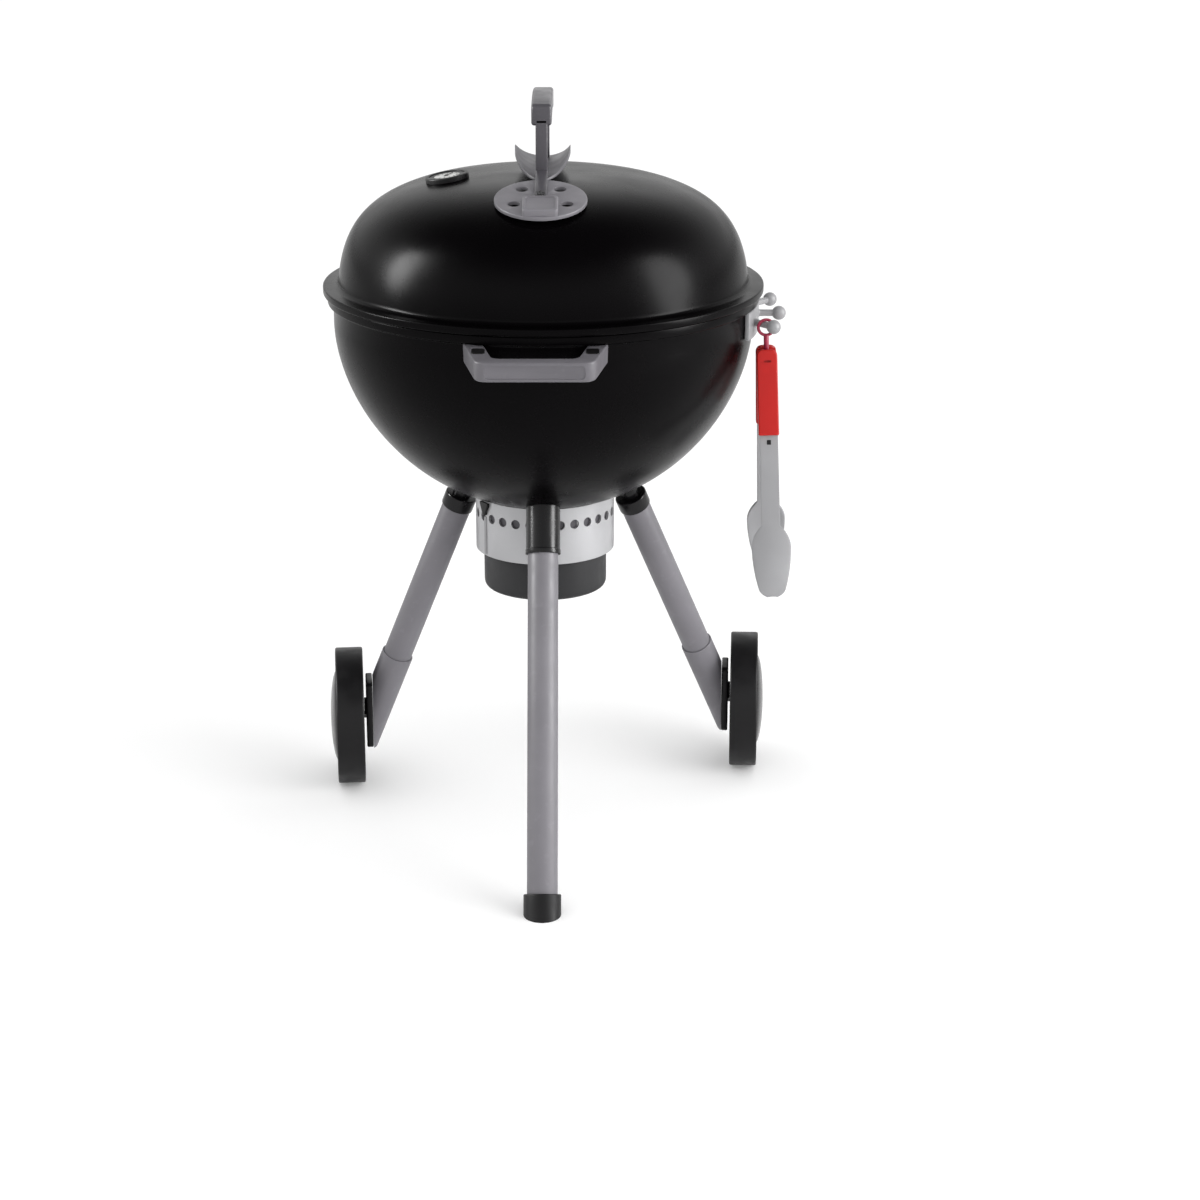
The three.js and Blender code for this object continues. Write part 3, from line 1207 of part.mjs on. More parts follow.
function scoopOutline() {
  const half = TONG_ARM_WIDTH / 2;
  const [scoop, tip] = [SCOOP_WIDTH / 2, SCOOP_TIP_WIDTH / 2];
  const shoulder = THREE.MathUtils.lerp(SCOOP_START, SCOOP_WIDEST, SCOOP_FLANK_SHARE);
  const flank = THREE.MathUtils.lerp(SCOOP_WIDEST, SCOOP_TIP, SCOOP_FLANK_SHARE);
  const flankWidth = scoop * SCOOP_FLANK_WIDTH_SHARE;
  const outline = new THREE.Shape();
  outline.moveTo(half, TONG_ARM_ABOVE);
  outline.lineTo(-half, TONG_ARM_ABOVE);
  outline.lineTo(-half, -SCOOP_START);
  outline.quadraticCurveTo(-scoop, -shoulder, -scoop, -SCOOP_WIDEST);
  outline.quadraticCurveTo(-flankWidth, -flank, -tip, -SCOOP_TIP);
  outline.lineTo(tip, -SCOOP_TIP);
  outline.quadraticCurveTo(flankWidth, -flank, scoop, -SCOOP_WIDEST);
  outline.quadraticCurveTo(scoop, -shoulder, half, -SCOOP_START);
  return outline;
}

// The front arm's knuckles lie outside the rear arm's on the pin
function tongArm(side) {
  const plate = moved(extruded(scoopOutline(), TONG_ARM_INSIDE, TONG_ARM_OUTSIDE), TO_FRONT);
  const start = KNUCKLE_HALF_WIDTH + SEAT_GAP + (side < 0 ? KNUCKLE_WIDTH + SEAT_GAP : 0);
  const knuckles = [[start, start + KNUCKLE_WIDTH], [-start - KNUCKLE_WIDTH, -start]].map(([from, to]) => {
    const web = block([from, to], [-TONG_ARM_OUTSIDE, 0], [-KNUCKLE_RADIUS, KNUCKLE_RADIUS]);
    return alongPin(from, to, KNUCKLE_RADIUS).add(web);
  });
  return moved(joined([plate, ...knuckles]).subtract(pinHole), towards(side));
}

function tongGrip(side) {
  const half = (TONG_GRIP_ABOVE + TONG_GRIP_BELOW) / 2;
  const outline = roundedRectangle(TONG_GRIP_WIDTH / 2, half, TONG_GRIP_ROUND);
  const from = TONG_ARM_OUTSIDE + SEAT_GAP;
  const form = bevelled(outline, from, from + TONG_GRIP_THICKNESS, TONG_GRIP_BEVEL);
  return moved(form, towards(side).multiply(shifted(0, 0, TONG_GRIP_ABOVE - half)).multiply(TO_FRONT));
}

const pinReach = KNUCKLE_HALF_WIDTH + 2 * (KNUCKLE_WIDTH + SEAT_GAP);
const tongsPin = moved(alongPin(-pinReach, pinReach, PIN_RADIUS), shifted(...pivotPlace));
addPiece(tongs, 'tongs_hanger', 'wineRed', tongsHanger());
addPiece(tongs, 'tongs_pin', 'steel', tongsPin);
ENDS.forEach(([name, side]) => {
  const arm = placedGroup(tongs, pivotPlace, 0, side * TONGS_OPEN);
  addPiece(arm, `tongs_${name}_arm`, 'lightPlastic', tongArm(side));
  addPiece(arm, `tongs_${name}_grip`, 'redPlastic', tongGrip(side));
});

// The origin is the middle of the whole part's footprint, on the floor
grill.updateMatrixWorld(true);
const bounds = new THREE.Box3().setFromObject(grill, true);
const middle = bounds.getCenter(new THREE.Vector3());
grill.position.set(-middle.x, -middle.y, -bounds.min.z);
grill.updateMatrixWorld(true);

export default grill;
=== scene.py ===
"""Looks of the toy barbecue grill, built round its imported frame.

Sizes are in millimetres in the kettle's own frame: its axis is x = y = 0 and the floor is z = 0.
"""

import logging
import math
from collections.abc import Sequence
from dataclasses import dataclass
from enum import Enum
from itertools import pairwise

import bpy
from mathutils import Matrix, Vector


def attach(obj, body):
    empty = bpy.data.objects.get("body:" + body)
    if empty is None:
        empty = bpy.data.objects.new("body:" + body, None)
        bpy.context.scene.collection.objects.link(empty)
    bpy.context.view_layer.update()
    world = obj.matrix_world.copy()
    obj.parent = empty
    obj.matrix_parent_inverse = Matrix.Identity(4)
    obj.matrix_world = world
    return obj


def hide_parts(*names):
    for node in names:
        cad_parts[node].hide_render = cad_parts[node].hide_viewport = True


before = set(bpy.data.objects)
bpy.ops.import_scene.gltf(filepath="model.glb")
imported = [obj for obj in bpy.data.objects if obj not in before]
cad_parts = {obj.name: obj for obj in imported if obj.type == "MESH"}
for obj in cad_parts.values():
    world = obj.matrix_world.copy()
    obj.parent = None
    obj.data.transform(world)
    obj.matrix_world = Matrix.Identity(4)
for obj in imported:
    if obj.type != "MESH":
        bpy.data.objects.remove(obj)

LOG = logging.getLogger("grill")

MM = 0.001
GAP = 0.3
OVERRUN = 8.0
WELD = 2e-6
SMOOTH_ANGLE = math.radians(32)
BEVEL_ANGLE = math.radians(28)
KETTLE_STEPS = 144
ROUND_STEPS = 64
SMALL_STEPS = 32
DISC_STEPS = 96
COLLAR_STEPS = 116
WHEEL_STEPS = 128
KETTLE = Matrix.Translation(Vector((-3.16, 20.316, 0.0)) * MM)
TO_FRONT = Matrix.Rotation(math.pi / 2, 4, "X")
UPRIGHT = Matrix(((0, 0, 1, 0), (1, 0, 0, 0), (0, 1, 0, 0), (0, 0, 0, 1)))

Piece = bpy.types.Object
Flat = tuple[float, float]


# Finishes


def tone(code: str) -> tuple[float, float, float, float]:
    """Turn a written colour into the light that gives it.

    Args:
        code: six hexadecimal digits, red first.

    Returns:
        Red, green, blue and a full alpha, scene linear.
    """
    shares = [int(code[place : place + 2], 16) / 255 for place in (0, 2, 4)]
    light = [
        share / 12.92 if share <= 0.04045 else ((share + 0.055) / 1.055) ** 2.4 for share in shares
    ]
    return (*light, 1.0)


def scaled(colour: Sequence[float], share: float) -> tuple[float, float, float, float]:
    """Return a colour made lighter or darker by a share."""
    return (*(min(1.0, part * share) for part in colour[:3]), 1.0)


class NodeSheet:
    """A material or world whose nodes are laid out one by one."""

    def __init__(self, owner: bpy.types.ID) -> None:
        """Empty the owner's node tree.

        Args:
            owner: the material or world that is laid out.
        """
        owner.use_nodes = True
        self.tree = owner.node_tree
        self.tree.nodes.clear()

    def add(
        self, kind: str, settings: dict[str, object] | None = None, **sockets: object
    ) -> bpy.types.Node:
        """Add a node.

        Args:
            kind: the node's type, without its ShaderNode prefix.
            settings: values of the node's own properties.
            **sockets: a value or another node's output for each named input, with _ for a space.

        Returns:
            The new node.
        """
        node = self.tree.nodes.new(f"ShaderNode{kind}")
        for name, value in (settings or {}).items():
            setattr(node, name, value)
        for name, value in sockets.items():
            self.feed(node, name.replace("_", " "), value)
        return node

    def feed(self, node: bpy.types.Node, name: str | int, value: object) -> None:
        """Set an input, or link an output to it.

        Args:
            node: the node that is fed.
            name: the input's name or number.
            value: a plain value or an output socket.
        """
        if isinstance(value, bpy.types.NodeSocket):
            self.tree.links.new(value, node.inputs[name])
        else:
            node.inputs[name].default_value = value

    def blend(self, share: object, low: object, high: object) -> bpy.types.NodeSocket:
        """Blend two colours.

        Args:
            share: how much of the second colour is taken.
            low: the first colour.
            high: the second colour.

        Returns:
            The blended colour's output.
        """
        node = self.add("Mix", {"data_type": "RGBA"})
        for place, value in ((0, share), (6, low), (7, high)):
            self.feed(node, place, value)
        return node.outputs[2]

    def spread(self, value: object, span: Flat, result: Flat) -> bpy.types.NodeSocket:
        """Map one span of values onto another.

        Args:
            value: the output that is mapped.
            span: its lowest and highest value.
            result: what these become.

        Returns:
            The mapped value's output.
        """
        node = self.add("MapRange", {"clamp": True}, Value=value)
        for name, number in zip(("From Min", "From Max", "To Min", "To Max"), (*span, *result)):
            node.inputs[name].default_value = number
        return node.outputs["Result"]

    def noise(self, scale: float, detail: float = 3.0) -> bpy.types.NodeSocket:
        """Return a noise over the piece's own place, at a number of cells to the metre."""
        place = self.add("TexCoord").outputs["Object"]
        return self.add("TexNoise", Vector=place, Scale=scale, Detail=detail).outputs[0]

    def reckon(self, operation: str, first: object, second: object) -> bpy.types.NodeSocket:
        """Add or multiply two values, and keep the result between 0 and 1."""
        node = self.add("Math", {"operation": operation, "use_clamp": True})
        self.feed(node, 0, first)
        self.feed(node, 1, second)
        return node.outputs[0]

    def surface(
        self, relief: object, strength: float, depth: float, **sockets: object
    ) -> bpy.types.NodeSocket:
        """Add a principled surface over a fine relief.

        Args:
            relief: the relief's heights.
            strength: how much of it is felt.
            depth: its depth in millimetres.
            **sockets: the surface's other inputs.

        Returns:
            The surface's output.
        """
        bump = self.add("Bump", Strength=strength, Distance=depth * MM, Height=relief)
        return self.add("BsdfPrincipled", Normal=bump.outputs[0], **sockets).outputs[0]


class Laid:
    """What all finishes share: a material whose nodes are laid out at its first use."""

    name: str

    def lay(self, sheet: NodeSheet) -> bpy.types.NodeSocket:
        """Lay out the finish's nodes and return the surface's output."""
        raise NotImplementedError

    def material(self) -> bpy.types.Material:
        """Return the finish's material."""
        made = bpy.data.materials.get(self.name)
        if not made:
            made = bpy.data.materials.new(self.name)
            sheet = NodeSheet(made)
            sheet.add("OutputMaterial", Surface=self.lay(sheet))
        return made


@dataclass(frozen=True)
class MouldedFinish(Laid):
    """Injection-moulded plastic with a fine grain, uneven gloss and light scuffs."""

    name: str
    colour: str
    roughness: Flat = (0.42, 0.56)
    shade: Flat = (0.93, 1.06)
    grain: float = 1500.0
    grain_depth: float = 0.05
    scuffs: float = 0.12
    scuff_light: float = 1.7
    refraction: float = 1.42
    coat: float = 0.0
    metal: float = 0.0
    clouds: float = 22.0
    wear: float = 140.0
    gloss: float = 60.0
    relief: float = 0.35

    def lay(self, sheet: NodeSheet) -> bpy.types.NodeSocket:
        """Lay out the finish's nodes and return the surface's output."""
        base = tone(self.colour)
        cloudy = sheet.spread(sheet.noise(self.clouds), (0.3, 0.7), (0.0, 1.0))
        body = sheet.blend(cloudy, scaled(base, self.shade[0]), scaled(base, self.shade[1]))
        worn = sheet.spread(sheet.noise(self.wear, 6.0), (0.6, 0.72), (0.0, self.scuffs))
        colour = sheet.blend(worn, body, scaled(base, self.scuff_light))
        gloss = sheet.spread(sheet.noise(self.gloss, 5.0), (0.35, 0.65), self.roughness)
        looks = {"Base_Color": colour, "Roughness": gloss, "IOR": self.refraction}
        looks |= {"Coat_Weight": self.coat, "Metallic": self.metal}
        return sheet.surface(sheet.noise(self.grain, 4.0), self.relief, self.grain_depth, **looks)


@dataclass(frozen=True)
class EnamelFinish(Laid):
    """Glossy black shell plastic with a faint orange peel, haze and specks of dust."""

    name: str = "gloss_black"
    colour: str = "040304"
    dust: str = "1f1e20"
    roughness: Flat = (0.24, 0.31)
    refraction: float = 1.13
    specks: float = 420.0
    haze: float = 26.0
    peel: float = 330.0
    peel_strength: float = 0.12
    peel_depth: float = 0.05

    def lay(self, sheet: NodeSheet) -> bpy.types.NodeSocket:
        """Lay out the finish's nodes and return the surface's output."""
        place = sheet.add("TexCoord").outputs["Object"]
        specks = sheet.add("TexVoronoi", Vector=place, Scale=self.specks, Randomness=1.0).outputs["Distance"]
        speckled = sheet.spread(specks, (0.035, 0.07), (0.35, 0.0))
        colour = sheet.blend(speckled, tone(self.colour), tone(self.dust))
        haze = sheet.spread(sheet.noise(self.haze, 6.0), (0.35, 0.7), self.roughness)
        looks = {"Base_Color": colour, "Roughness": haze, "IOR": self.refraction}
        return sheet.surface(sheet.noise(self.peel, 2.0), self.peel_strength, self.peel_depth, **looks)


@dataclass(frozen=True)
class SteelFinish(Laid):
    """Plated steel of screws and pins, with fine turning marks."""

    name: str = "plated_steel"
    colour: str = "8f9092"
    tarnish: str = "6b6a68"
    roughness: Flat = (0.22, 0.42)
    patches: float = 300.0
    marks: float = 2600.0
    marks_strength: float = 0.2
    marks_depth: float = 0.03

    def lay(self, sheet: NodeSheet) -> bpy.types.NodeSocket:
        """Lay out the finish's nodes and return the surface's output."""
        colour = sheet.blend(sheet.noise(self.patches, 4.0), tone(self.colour), tone(self.tarnish))
        gloss = sheet.spread(sheet.noise(900.0, 3.0), (0.3, 0.7), self.roughness)
        looks = {"Base_Color": colour, "Roughness": gloss, "Metallic": 1.0}
        return sheet.surface(sheet.noise(self.marks, 2.0), self.marks_strength, self.marks_depth, **looks)


@dataclass(frozen=True)
class FloorFinish(Laid):
    """Pale studio floor that stays white to the camera and keeps soft shadows."""

    name: str = "studio_floor"
    diffuse: str = "f4f4f4"
    glow: float = 0.14

    def lay(self, sheet: NodeSheet) -> bpy.types.NodeSocket:
        """Lay out the finish's nodes and return the surface's output."""
        path = sheet.add("LightPath").outputs
        seen = sheet.reckon("ADD", path["Is Camera Ray"], path["Is Glossy Ray"])
        clear = sheet.reckon("ADD", seen, path["Is Transmission Ray"])
        strength = sheet.reckon("MULTIPLY", clear, self.glow)
        mottle = sheet.blend(sheet.noise(3.0), tone(self.diffuse), scaled(tone(self.diffuse), 1.03))
        shade = sheet.add("BsdfDiffuse", Color=mottle)
        light = sheet.add("Emission", Strength=strength)
        both = sheet.add("AddShader")
        sheet.feed(both, 0, shade.outputs[0])
        sheet.feed(both, 1, light.outputs[0])
        return both.outputs[0]


class Finish(Enum):
    """The finishes of the grill, each with the slot of the record that it dresses."""

    ENAMEL = ("enamel", EnamelFinish())
    GREY = ("grey_plastic", MouldedFinish("warm_grey", "767479"))
    # A darker copy of the grey plastic: painted shade, its tone darkened to the shade on the lid handle's
    # legs and inside the vents.
    SMOKE = ("grey_plastic", MouldedFinish("shaded_grey", "4a484d", (0.3, 0.42)))
    STONE = ("grey_plastic", MouldedFinish("stone_grey", "656368", (0.4, 0.52)))
    DARK = ("dark_plastic", MouldedFinish("charcoal_grey", "202022", (0.4, 0.55), refraction=1.36))
    BLACK = (
        "black_plastic",
        MouldedFinish("black_moulding", "0c0b0d", (0.4, 0.55), scuff_light=2.6, refraction=1.32),
    )
    GLOSS = (
        "black_plastic",
        MouldedFinish(
            "black_gloss", "0a090b", (0.22, 0.3), grain_depth=0.01, scuff_light=2.0, refraction=1.33
        ),
    )
    LIGHT = (
        "light_plastic",
        MouldedFinish("silver_grey", "929294", (0.36, 0.5), scuffs=0.06, scuff_light=1.2),
    )
    PALE = (
        "light_plastic",
        MouldedFinish(
            "pale_silver",
            "acacae",
            (0.28, 0.38),
            grain_depth=0.02,
            scuffs=0.05,
            scuff_light=0.9,
            metal=0.4,
        ),
    )
    RED = (
        "red_plastic",
        MouldedFinish("grip_red", "ae110c", (0.3, 0.42), scuffs=0.05, refraction=1.36),
    )
    WINE = (
        "wine_red",
        MouldedFinish("hanger_wine", "9c2643", (0.3, 0.42), scuffs=0.05, coat=0.15),
    )
    DIAL = (
        "dial_face",
        MouldedFinish("dial_white", "cfcfcc", (0.25, 0.35), scuffs=0.03, scuff_light=0.8),
    )
    STEEL = ("steel", SteelFinish())

    @property
    def slot(self) -> str:
        """Return the record's slot."""
        return self.value[0]

    def material(self) -> bpy.types.Material:
        """Return the finish's material."""
        return self.value[1].material()


# Modelling by hand


def choose(*pieces: Piece) -> None:
    """Select these pieces and nothing else, the first one active."""
    bpy.ops.object.select_all(action="DESELECT")
    for piece in pieces:
        piece.select_set(True)
    bpy.context.view_layer.objects.active = pieces[0]


def edit(piece: Piece) -> None:
    """Open a piece in edit mode with all of it selected."""
    choose(piece)
    bpy.ops.object.mode_set(mode="EDIT")
    bpy.ops.mesh.select_mode(type="VERT")
    bpy.ops.mesh.select_all(action="SELECT")


def close_up() -> None:
    """Weld what is open in edit mode, turn its faces outwards and leave edit mode."""
    bpy.ops.mesh.select_all(action="SELECT")
    bpy.ops.mesh.remove_doubles(threshold=WELD)
    bpy.ops.mesh.normals_make_consistent(inside=False)
    bpy.ops.object.mode_set(mode="OBJECT")


def drawn(name: str, points: Sequence[Sequence[float]]) -> Piece:
    """Draw a line by extruding one point along it, and stay in edit mode.

    Args:
        name: the new piece's name.
        points: the line's points, in millimetres.

    Returns:
        The piece, open in edit mode.
    """
    places = [Vector(point) * MM for point in points]
    bpy.ops.object.select_all(action="DESELECT")
    bpy.ops.mesh.primitive_plane_add(size=MM)
    piece = bpy.context.object
    piece.name = name
    edit(piece)
    bpy.ops.mesh.merge(type="CENTER")
    bpy.ops.transform.translate(value=places[0])
    for start, end in pairwise(places):
        bpy.ops.mesh.extrude_vertices_move(TRANSFORM_OT_translate={"value": end - start})
    return piece


def turned(name: str, profile: Sequence[Sequence[float]], steps: int = ROUND_STEPS) -> Piece:
    """Turn a profile about the upright axis.

    Args:
        name: the new piece's name.
        profile: distances from the axis and heights, from one end of the closed form to the other,
            each with a radius and a number of edges where it is rounded.
        steps: how many faces go round.

    Returns:
        The closed round piece.
    """
    piece = drawn(name, [(radius, 0.0, height) for radius, height in eased(profile)])
    bpy.ops.mesh.select_all(action="SELECT")
    bpy.ops.mesh.spin(steps=steps, angle=math.tau, center=(0, 0, 0), axis=(0, 0, 1))
    close_up()
    return piece


def slab(name: str, outline: Sequence[Flat], bottom: float, top: float) -> Piece:
    """Fill an outline and extrude it up.

    Args:
        name: the new piece's name.
        outline: the outline's corners in order.
        bottom: height of its lower face.
        top: height of its upper face.

    Returns:
        The closed flat piece.
    """
    piece = drawn(name, [(x, y, bottom) for x, y in (*outline, outline[0])])
    bpy.ops.mesh.select_all(action="SELECT")
    bpy.ops.mesh.remove_doubles(threshold=WELD)
    bpy.ops.mesh.edge_face_add()
    lift = {"value": (0, 0, (top - bottom) * MM)}
    bpy.ops.mesh.extrude_region_move(TRANSFORM_OT_translate=lift)
    close_up()
    return piece


def placed(piece: Piece, matrix: Matrix) -> Piece:
    """Move a piece and put its new place into its mesh.

    Args:
        piece: the piece, at the origin.
        matrix: where it goes; a mirroring one turns the faces out again.

    Returns:
        The same piece.
    """
    choose(piece)
    piece.matrix_world = matrix
    bpy.ops.object.transform_apply(location=True, rotation=True, scale=True)
    if matrix.determinant() < 0:
        edit(piece)
        close_up()
    return piece


def modified(piece: Piece, kind: str, **settings: object) -> Piece:
    """Add a modifier and apply it.

    Args:
        piece: the piece.
        kind: the modifier's type.
        **settings: its properties.

    Returns:
        The same piece.
    """
    choose(piece)
    bpy.ops.object.modifier_add(type=kind)
    modifier = piece.modifiers[-1]
    for name, value in settings.items():
        setattr(modifier, name, value)
    bpy.ops.object.modifier_apply(modifier=modifier.name)
    return piece


def softened(piece: Piece, width: float, segments: int = 3) -> Piece:
    """Round a piece's sharp edges over a width in millimetres."""
    shape = {"limit_method": "ANGLE", "angle_limit": BEVEL_ANGLE, "harden_normals": False}
    return modified(piece, "BEVEL", width=width * MM, segments=segments, **shape)


def trimmed(piece: Piece, tool: Piece, operation: str = "DIFFERENCE") -> Piece:
    """Cut a piece with a tool, which is used up.

    Args:
        piece: the piece.
        tool: the closed form that it is cut with.
        operation: DIFFERENCE, INTERSECT or UNION.

    Returns:
        The same piece.
    """
    modified(piece, "BOOLEAN", object=tool, operation=operation, solver="EXACT")
    bpy.data.objects.remove(tool)
    return piece


def together(name: str, *pieces: Piece) -> Piece:
    """Join pieces into one and return it."""
    choose(*pieces)
    bpy.ops.object.join()
    bpy.context.object.name = name
    return bpy.context.object


def copied(piece: Piece, name: str) -> Piece:
    """Copy a piece with a mesh of its own."""
    choose(piece)
    bpy.ops.object.duplicate(linked=False)
    bpy.context.object.name = name
    return bpy.context.object


def repeated(pattern: Piece, places: Sequence[Matrix]) -> list[Piece]:
    """Set a copy of a pattern at each place, and use the pattern up."""
    copies = [placed(copied(pattern, pattern.name), place) for place in places]
    bpy.data.objects.remove(pattern)
    return copies


def sliced(piece: Piece, point: Vector, normal: Vector) -> Piece:
    """Cut off what lies on a plane's outer side and close the cut.

    Args:
        piece: the piece.
        point: a point of the plane, in metres.
        normal: the plane's outward direction.

    Returns:
        The same piece.
    """
    edit(piece)
    bpy.ops.mesh.bisect(plane_co=point, plane_no=normal, use_fill=True, clear_outer=True)
    close_up()
    return piece


def evened(piece: Piece) -> Piece:
    """Let a dressed piece's large faces lead its shading, so that cuts leave no streaks."""
    return modified(piece, "WEIGHTED_NORMAL", weight=100, keep_sharp=True)


def redressed(piece: Piece, finish: Finish, low: float) -> Piece:
    """Give a dressed piece's faces above a height a second finish.

    Args:
        piece: the piece, dressed and in its place.
        finish: the second finish.
        low: the height, in metres.

    Returns:
        The same piece.
    """
    piece.data.materials.append(finish.material())
    for face in piece.data.polygons:
        if face.center.z > low:
            face.material_index = 1
    return piece


def fit(piece: Piece, body: str, finish: Finish, *nodes: str, name: str = "") -> Piece:
    """Dress a finished piece and set it on its body.

    Args:
        piece: the piece, in its place.
        body: the body that it rides on.
        finish: its finish.
        *nodes: the nodes of the frame that it stands for.
        name: its name, if it hasn't got it yet.

    Returns:
        The same piece.
    """
    choose(piece)
    piece.name = name or piece.name
    bpy.ops.object.shade_smooth_by_angle(angle=SMOOTH_ANGLE)
    piece.data.name = piece.name
    piece.data.materials.clear()
    piece.data.materials.append(finish.material())
    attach(piece, body)
    finish.slot
    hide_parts(*nodes)
    LOG.info("%s: %d faces on %s", piece.name, len(piece.data.polygons), body)
    return piece


def corner(start: Flat, control: Flat, end: Flat, steps: int = 8) -> list[Flat]:
    """Round a corner.

    Args:
        start: where the rounding starts.
        control: the corner itself.
        end: where it ends.
        steps: how many edges it has.

    Returns:
        The rounding's points, with both ends.
    """
    shares = [step / steps for step in range(steps + 1)]
    return [
        tuple(
            (1 - t) ** 2 * a + 2 * t * (1 - t) * b + t * t * c for a, b, c in zip(start, control, end)
        )
        for t in shares
    ]


def eased(points: Sequence[Sequence[float]]) -> list[Flat]:
    """Round the corners of a line.

    Args:
        points: its corners, each with a radius and a number of edges where it is rounded.

    Returns:
        The line's points.
    """
    line = []
    for index, (x, y, *bend) in enumerate(points):
        if not bend:
            line.append((x, y))
            continue
        ends = []
        for beside in (points[index - 1], points[(index + 1) % len(points)]):
            reach = math.hypot(beside[0] - x, beside[1] - y)
            ends.append((x + (beside[0] - x) / reach * bend[0], y + (beside[1] - y) / reach * bend[0]))
        line += corner(ends[0], (x, y), ends[1], bend[1])
    return line


def rounded_box(
    half_width: float, half_height: float, radius: float, middle: Flat = (0.0, 0.0)
) -> list[Flat]:
    """Outline a rectangle with round corners.

    Args:
        half_width: half its width.
        half_height: half its height.
        radius: its corners' radius.
        middle: its middle.

    Returns:
        The outline's points.
    """
    points = []
    for quarter, (x, y) in enumerate(((1, 1), (-1, 1), (-1, -1), (1, -1))):
        for step in range(7):
            turn = (quarter + step / 6) * math.pi / 2
            across = middle[0] + x * (half_width - radius) + radius * math.cos(turn)
            points.append((across, middle[1] + y * (half_height - radius) + radius * math.sin(turn)))
    return points


def rod(
    name: str, radius: float, bottom: float, top: float, steps: int = ROUND_STEPS, edge: float = 0.0
) -> Piece:
    """Turn a plain rod.

    Args:
        name: the new piece's name.
        radius: its radius.
        bottom: height of its lower end.
        top: height of its upper end.
        steps: how many faces go round.
        edge: width of the rounding at both ends.

    Returns:
        The rod.
    """
    bend = (edge, 4) if edge else ()
    profile = [(0, bottom), (radius, bottom, *bend), (radius, top, *bend), (0, top)]
    return turned(name, profile, steps)


def shift(x: float, y: float, z: float) -> Matrix:
    """Return a move in millimetres."""
    return Matrix.Translation(Vector((x, y, z)) * MM)


def spin(turn: float, axis: str = "Z") -> Matrix:
    """Return a turn in degrees about an axis."""
    return Matrix.Rotation(math.radians(turn), 4, axis)


def standing(origin: Sequence[float], turn: float = 0.0, tilt: float = 0.0) -> Matrix:
    """Place a frame, turned about the upright axis and then tilted about its own X.

    Args:
        origin: its place in the kettle's frame, in millimetres.
        turn: degrees about the upright axis.
        tilt: degrees about its own X.

    Returns:
        The frame in the row's own.
    """
    return KETTLE @ shift(*origin) @ spin(turn) @ spin(tilt, "X")


def outward(azimuth: float, height: float) -> Matrix:
    """Return a frame whose Z points away from the kettle's axis at an azimuth and a height."""
    return standing((0, 0, height), azimuth) @ TO_FRONT


def arc(turns: Sequence[float], across: float, along: float, middle: Flat = (0.0, 0.0)) -> list[Flat]:
    """Return points at turns round an oval, given by half its sizes and its middle."""
    return [(middle[0] + across * math.cos(turn), middle[1] + along * math.sin(turn)) for turn in turns]


# The kettle's form


